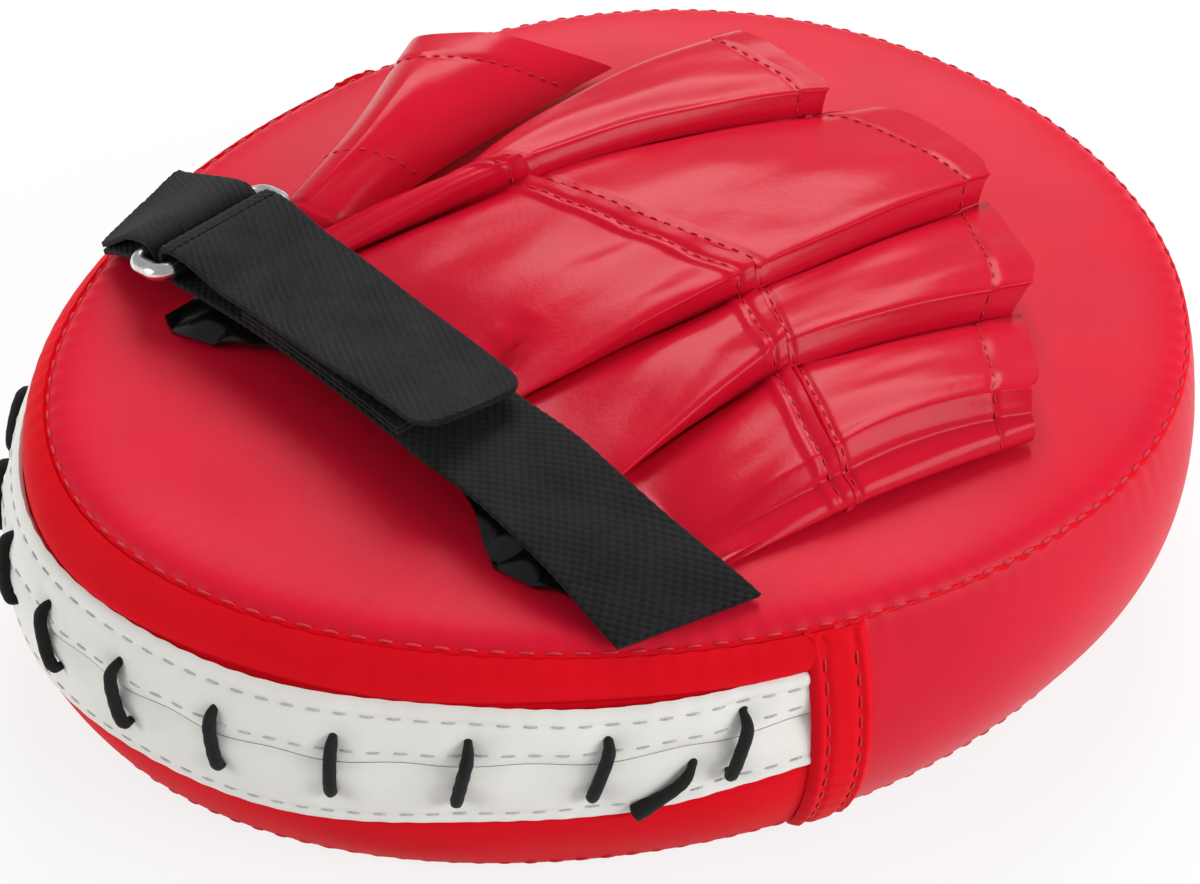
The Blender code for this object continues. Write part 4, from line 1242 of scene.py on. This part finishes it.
def stall_cover(finger, grid, ridge, seed):
    """Hem a stall's grid, crease it and put it on the pad; returns its outside and its length."""
    length = np.linalg.norm(ridge[-1, :2] - ridge[0, :2])
    grid[..., 2] += hem_relief(length, STALL_SHARE)[:, None] * smooth(grid[..., 2], 0.0, 0.002)
    outer = soft_cover(grid, seed)
    dress(sheet_of(finger + "_cover", outer, COVER, RED_STALL), [finger + "_stall"])
    return outer, length


def finger_stalls():
    """Four stalls fanned from the knuckles, each tucked under its left neighbour's ridge."""
    share, left = STALL_SHARE, None
    swell = np.sin(math.pi * share)
    for i, (finger, (ridge_stations, _)) in enumerate(RIDGES.items()):
        ridge, right = along_line(ridge_stations, share), along_line(VALLEYS[finger][0], share)
        if left is None:
            rise = box_section(along_line(INDEX_FOOT[0], share), along_line(INDEX_EDGE[0], share), ridge)
        else:
            rise = slope(left, ridge, 0.08 + 0.18 * swell, 0.18 * swell)
        fall = rolled_side(ridge, right) if finger == "little" else fold(ridge, right)
        grid = across_section(rise + fall)
        shape_tip(grid, share, ridge, MIDDLE_TIP_BULGE if finger == "middle" else 0.0)
        outer, length = stall_cover(finger, grid, ridge, 90 + i)
        sew_across(finger + "_knuckle_stitches", outer, KNUCKLE_ROW / length)
        sew_across(finger + "_hem_stitches", outer, 1 - HEM / length)
        left = right


def thumb_stall():
    """Thumb stall: a steep outer side, an edge and one face that slopes down to the panel."""
    foot, edge, seam = (along_line(line, STALL_SHARE) for line in (THUMB_FOOT, THUMB_EDGE, THUMB_SEAM))
    face = [between(edge, seam, across, rise) for across, rise in ((0.25, 0.07), (0.55, 0.34), (0.82, 0.73))]
    grid = across_section([foot, between(foot, edge, 0.42, 0.68), edge, *face, seam])
    outer, length = stall_cover("thumb", grid, edge, 97)
    sew_across("thumb_hem_stitches", outer, 1 - HEM / length)
    sew_across("thumb_knuckle_stitches", outer, THUMB_ROW_SHARE)


def cuff_point(start):
    """Plan and height of a line's start under the strap."""
    share, height = start
    return np.append(strap_plan(CUFF_START + CUFF_SPAN * share, CLEAR / 2), height / 1000)


def cuff_line(start, knuckle, share, dip=0.0):
    """Line from the cuff to a knuckle: low as far as the strap covers it, then a climb that may sag or arch."""
    first = cuff_point(start)
    hidden = STRAP_WIDTH / 2 / ((knuckle[:2] - first[:2]) @ ACROSS)
    climb = np.clip((share - hidden) / (1 - hidden), 0, None)
    line = mix(first, knuckle, share[:, None])
    line[:, 2] = mix(first[2], knuckle[2], climb**1.2) + dip * np.sin(math.pi * np.clip(climb, 0, 1))
    return line


def hand_cover():
    """Cover of the hand: low under the strap, breaking into pleats whose ends lap over the stalls' bases."""
    share = np.linspace(0, 1 + KNUCKLE_LAP / HAND_DEPTH, 116)
    swell = np.sin(math.pi * np.clip(share, 0, 1)) ** 0.7
    left, grids = None, []
    for finger, (ridge_stations, start) in RIDGES.items():
        last = finger == "little"
        ridge = cuff_line(start, ridge_stations[0], share, RIDGE_ARCH)
        right = cuff_line(VALLEYS[finger][1], VALLEYS[finger][0][0], share, 0.0 if last else VALLEY_SAG)
        if left is None:
            edge = cuff_line(INDEX_EDGE[1], INDEX_EDGE[0][0], share, EDGE_ARCH)
            rise = box_section(cuff_line(INDEX_FOOT[1], INDEX_FOOT[0][0], share), edge, ridge)
        else:
            rise = slope(left, ridge, 0.06 + 0.30 * swell, 0.40 * swell)
        fall = rolled_side(ridge, right) if last else fold(ridge, right, PLEAT_UNDER * swell[:, None])
        grid = across_section(rise + fall)
        grids.append(grid if left is None else grid[:, 1:])
        left = fall[-1]
    grid = np.concatenate(grids, 1)
    length = np.linalg.norm(grid[-1, :, :2] - grid[0, :, :2], axis=-1) / share[-1]
    from_knuckle = (1 - share)[:, None] * length
    lap = HAND_LAP_RISE * smooth(-from_knuckle, -0.0040, -0.0022)
    relief = lap - KNUCKLE_DENT * bump(from_knuckle, HAND_ROW, ROW_WIDTH)
    for start, end in PINCHES:
        run = end[:2] - start[:2]
        place = np.clip((grid[..., :2] - start[:2]) @ run / (run @ run), 0, 1)
        away = np.linalg.norm(grid[..., :2] - start[:2] - place[..., None] * run, axis=-1)
        relief = relief - PINCH_DEPTH * bump(away, 0.0, PINCH_WIDTH) * (1 - place**2)
    grid[..., 2] = np.maximum(grid[..., 2] + relief * smooth(grid[..., 2], 0.0, 0.002), 0.0)
    outer = soft_cover(grid, 99, HAND_CREASES)
    dress(sheet_of("hand_cover", outer, COVER, RED_STALL), ["hand_back_panel"])
    sew_across("hand_cover_knuckle_stitches", outer, (1 - HAND_ROW / length.mean()) / share[-1])


# Feet of the lining: place along the strap, width, and how far each reaches out past the joining strip
LINING_FEET = ((0.036, 0.014, 0.0100), (0.121, 0.012, 0.0075))
LINING_START = 0.030
LINING_END_INSET = 0.017
LINING_STRIP = 0.0075
LINING_HEIGHT = 0.0040
LINING_CRUMPLE = 0.0010


def cuff_lining():
    """Black lining under the strap: two crumpled feet on the panel, joined by a strip the strap hides."""
    along = np.linspace(LINING_START, STRAP_LENGTH - LINING_END_INSET, 260)
    depth = np.linspace(0, 1, 40)[:, None]
    feet = [bump(along, place, width) for place, width, _ in LINING_FEET]
    foot = np.maximum(*feet)
    reach = sum((out * shape for shape, (_, _, out) in zip(feet, LINING_FEET)), LINING_STRIP)
    plan = strap_plan(along + 0 * depth, -CLEAR / 2 - reach * depth)
    ends = smooth(along, 0.028, 0.040) * (1 - smooth(along, 0.122, STRAP_LENGTH - 0.015))
    height = LINING_HEIGHT * ends * (1 - 0.95 * foot * depth**2)
    crumple = np.abs(waves(along[None] + 0.3 * depth * reach, 0.4 * depth * reach, 103, 0.012)) - 0.6
    rise = np.maximum(height + LINING_CRUMPLE * (0.3 + foot) * np.sqrt(depth) * crumple, 0.0)
    outer = lift_plan(plan, CLEAR + COVER + rise)
    dress(sheet_of("cuff_lining_cover", outer, COVER, BLACK_LINING, flip=True), ["cuff_lining"])


# Room and camera

CAMERA_AZIMUTH = math.radians(-32.4)
CAMERA_ELEVATION = math.radians(46.2)
CAMERA_ROLL = math.radians(-1.3)
CAMERA_DISTANCE = 0.415
IMAGE_WIDTH = 1200
FOCAL_PIXELS = 1884
AXIS_RIGHT_PIXELS = 26
AXIS_DOWN_PIXELS = 31
SENSOR_WIDTH = 36.0
WHITE = (1.0, 1.0, 1.0, 1.0)
FLOOR_SIZE = 6.0
FLOOR_DROP = 0.0004
FLOOR_COLOUR = (0.86, 0.86, 0.86, 1.0)
FLOOR_GLOW = 0.80
ROOM_LIGHT = 0.42
# Softboxes round the pad: place, side and power
SOFTBOXES = {
    "key_softbox": ((0.55, 0.75, 1.00), 0.75, 14.0),
    "side_softbox": ((0.65, -0.95, 0.55), 0.60, 10.5),
    "wrist_softbox": ((-1.0, 0.30, 0.40), 0.60, 4.0),
}


def put_in_room(name, data, right, up, back, place):
    """Object of the room from its own axes and its place."""
    holder = bpy.data.objects.new(name, data)
    bpy.context.collection.objects.link(holder)
    matrix = np.eye(4)
    matrix[:3] = np.stack([right, up, back, place], -1)
    holder.matrix_world = Matrix(matrix.tolist())
    return holder


def place_camera():
    """Camera on a sphere round the pad's seam centre, at the photograph's angle, roll and framing."""
    flat = math.cos(CAMERA_ELEVATION)
    back = np.array([math.sin(CAMERA_AZIMUTH) * flat, -math.cos(CAMERA_AZIMUTH) * flat,
                     math.sin(CAMERA_ELEVATION)])
    right = unit(np.cross(-back, [0.0, 0.0, 1.0]))
    down = np.cross(-back, right)
    turned = math.cos(CAMERA_ROLL) * right + math.sin(CAMERA_ROLL) * down
    upward = math.sin(CAMERA_ROLL) * right - math.cos(CAMERA_ROLL) * down
    lens = bpy.data.cameras.new("camera")
    lens.sensor_fit = "HORIZONTAL"
    lens.sensor_width = SENSOR_WIDTH
    lens.lens = SENSOR_WIDTH * FOCAL_PIXELS / IMAGE_WIDTH
    lens.shift_x = -AXIS_RIGHT_PIXELS / IMAGE_WIDTH
    lens.shift_y = AXIS_DOWN_PIXELS / IMAGE_WIDTH
    eye = back * CAMERA_DISTANCE + np.array([SHIFT, 0.0, 0.0])
    bpy.context.scene.camera = put_in_room("camera", lens, turned, upward, back, eye)


def softbox(name, place, size, power):
    """Square area light that faces the pad."""
    lamp = bpy.data.lights.new(name, "AREA")
    lamp.size = size
    lamp.energy = power
    back = unit(np.array(place) - np.array([SHIFT, 0.0, 0.05]))
    right = unit(np.cross([0.0, 0.0, 1.0], back))
    put_in_room(name, lamp, right, np.cross(back, right), back, np.array(place))


def paper_floor():
    """Pale floor that takes the shadow and glows white to the camera and in reflections."""
    mesh = bpy.data.meshes.new("floor")
    corners = [(-FLOOR_SIZE, -FLOOR_SIZE, 0), (FLOOR_SIZE, -FLOOR_SIZE, 0),
               (FLOOR_SIZE, FLOOR_SIZE, 0), (-FLOOR_SIZE, FLOOR_SIZE, 0)]
    mesh.from_pydata(corners, [], [(0, 1, 2, 3)])
    floor = bpy.data.objects.new("floor", mesh)
    bpy.context.collection.objects.link(floor)
    floor.location.z = -FLOOR_DROP
    material, tree, shader = new_material("floor_paper")
    set_inputs(tree, shader, {"Base Color": FLOOR_COLOUR, "Roughness": 0.9, "Specular IOR Level": 0.0})
    seen = node(tree, "ShaderNodeLightPath").outputs
    shown = maths(tree, "MAXIMUM", seen["Is Camera Ray"], seen["Is Glossy Ray"])
    share = maths(tree, "MULTIPLY", shown, FLOOR_GLOW)
    glow = node(tree, "ShaderNodeEmission", Color=WHITE, Strength=1.0)
    both = node(tree, "ShaderNodeMixShader")
    set_inputs(tree, both, {0: share, 1: shader.outputs["BSDF"], 2: glow.outputs["Emission"]})
    tree.links.new(both.outputs["Shader"], tree.nodes["Material Output"].inputs["Surface"])
    mesh.materials.append(material)


def studio():
    """Floor, white surroundings that light less than they show, and three softboxes."""
    scene = bpy.context.scene
    scene.view_settings.view_transform = "Standard"
    paper_floor()
    world = bpy.data.worlds.new("white_room")
    scene.world = world
    world.use_nodes = True
    tree = world.node_tree
    seen = node(tree, "ShaderNodeLightPath").outputs["Is Camera Ray"]
    set_inputs(tree, tree.nodes["Background"], {"Color": WHITE, "Strength": ranged(tree, seen, ROOM_LIGHT, 1.0)})
    for name, (place, size, power) in SOFTBOXES.items():
        softbox(name, place, size, power)


def main():
    back_cover()
    side_cover()
    upper_band()
    lower_band()
    strike_cover()
    lace_strips()
    closure_lace()
    lap_covers()
    seam_threads()
    foam_blocks()
    anchor_webbing()
    strap_base()
    strap_flap()
    wire_ring()
    finger_stalls()
    thumb_stall()
    hand_cover()
    cuff_lining()
    place_camera()
    studio()


main()
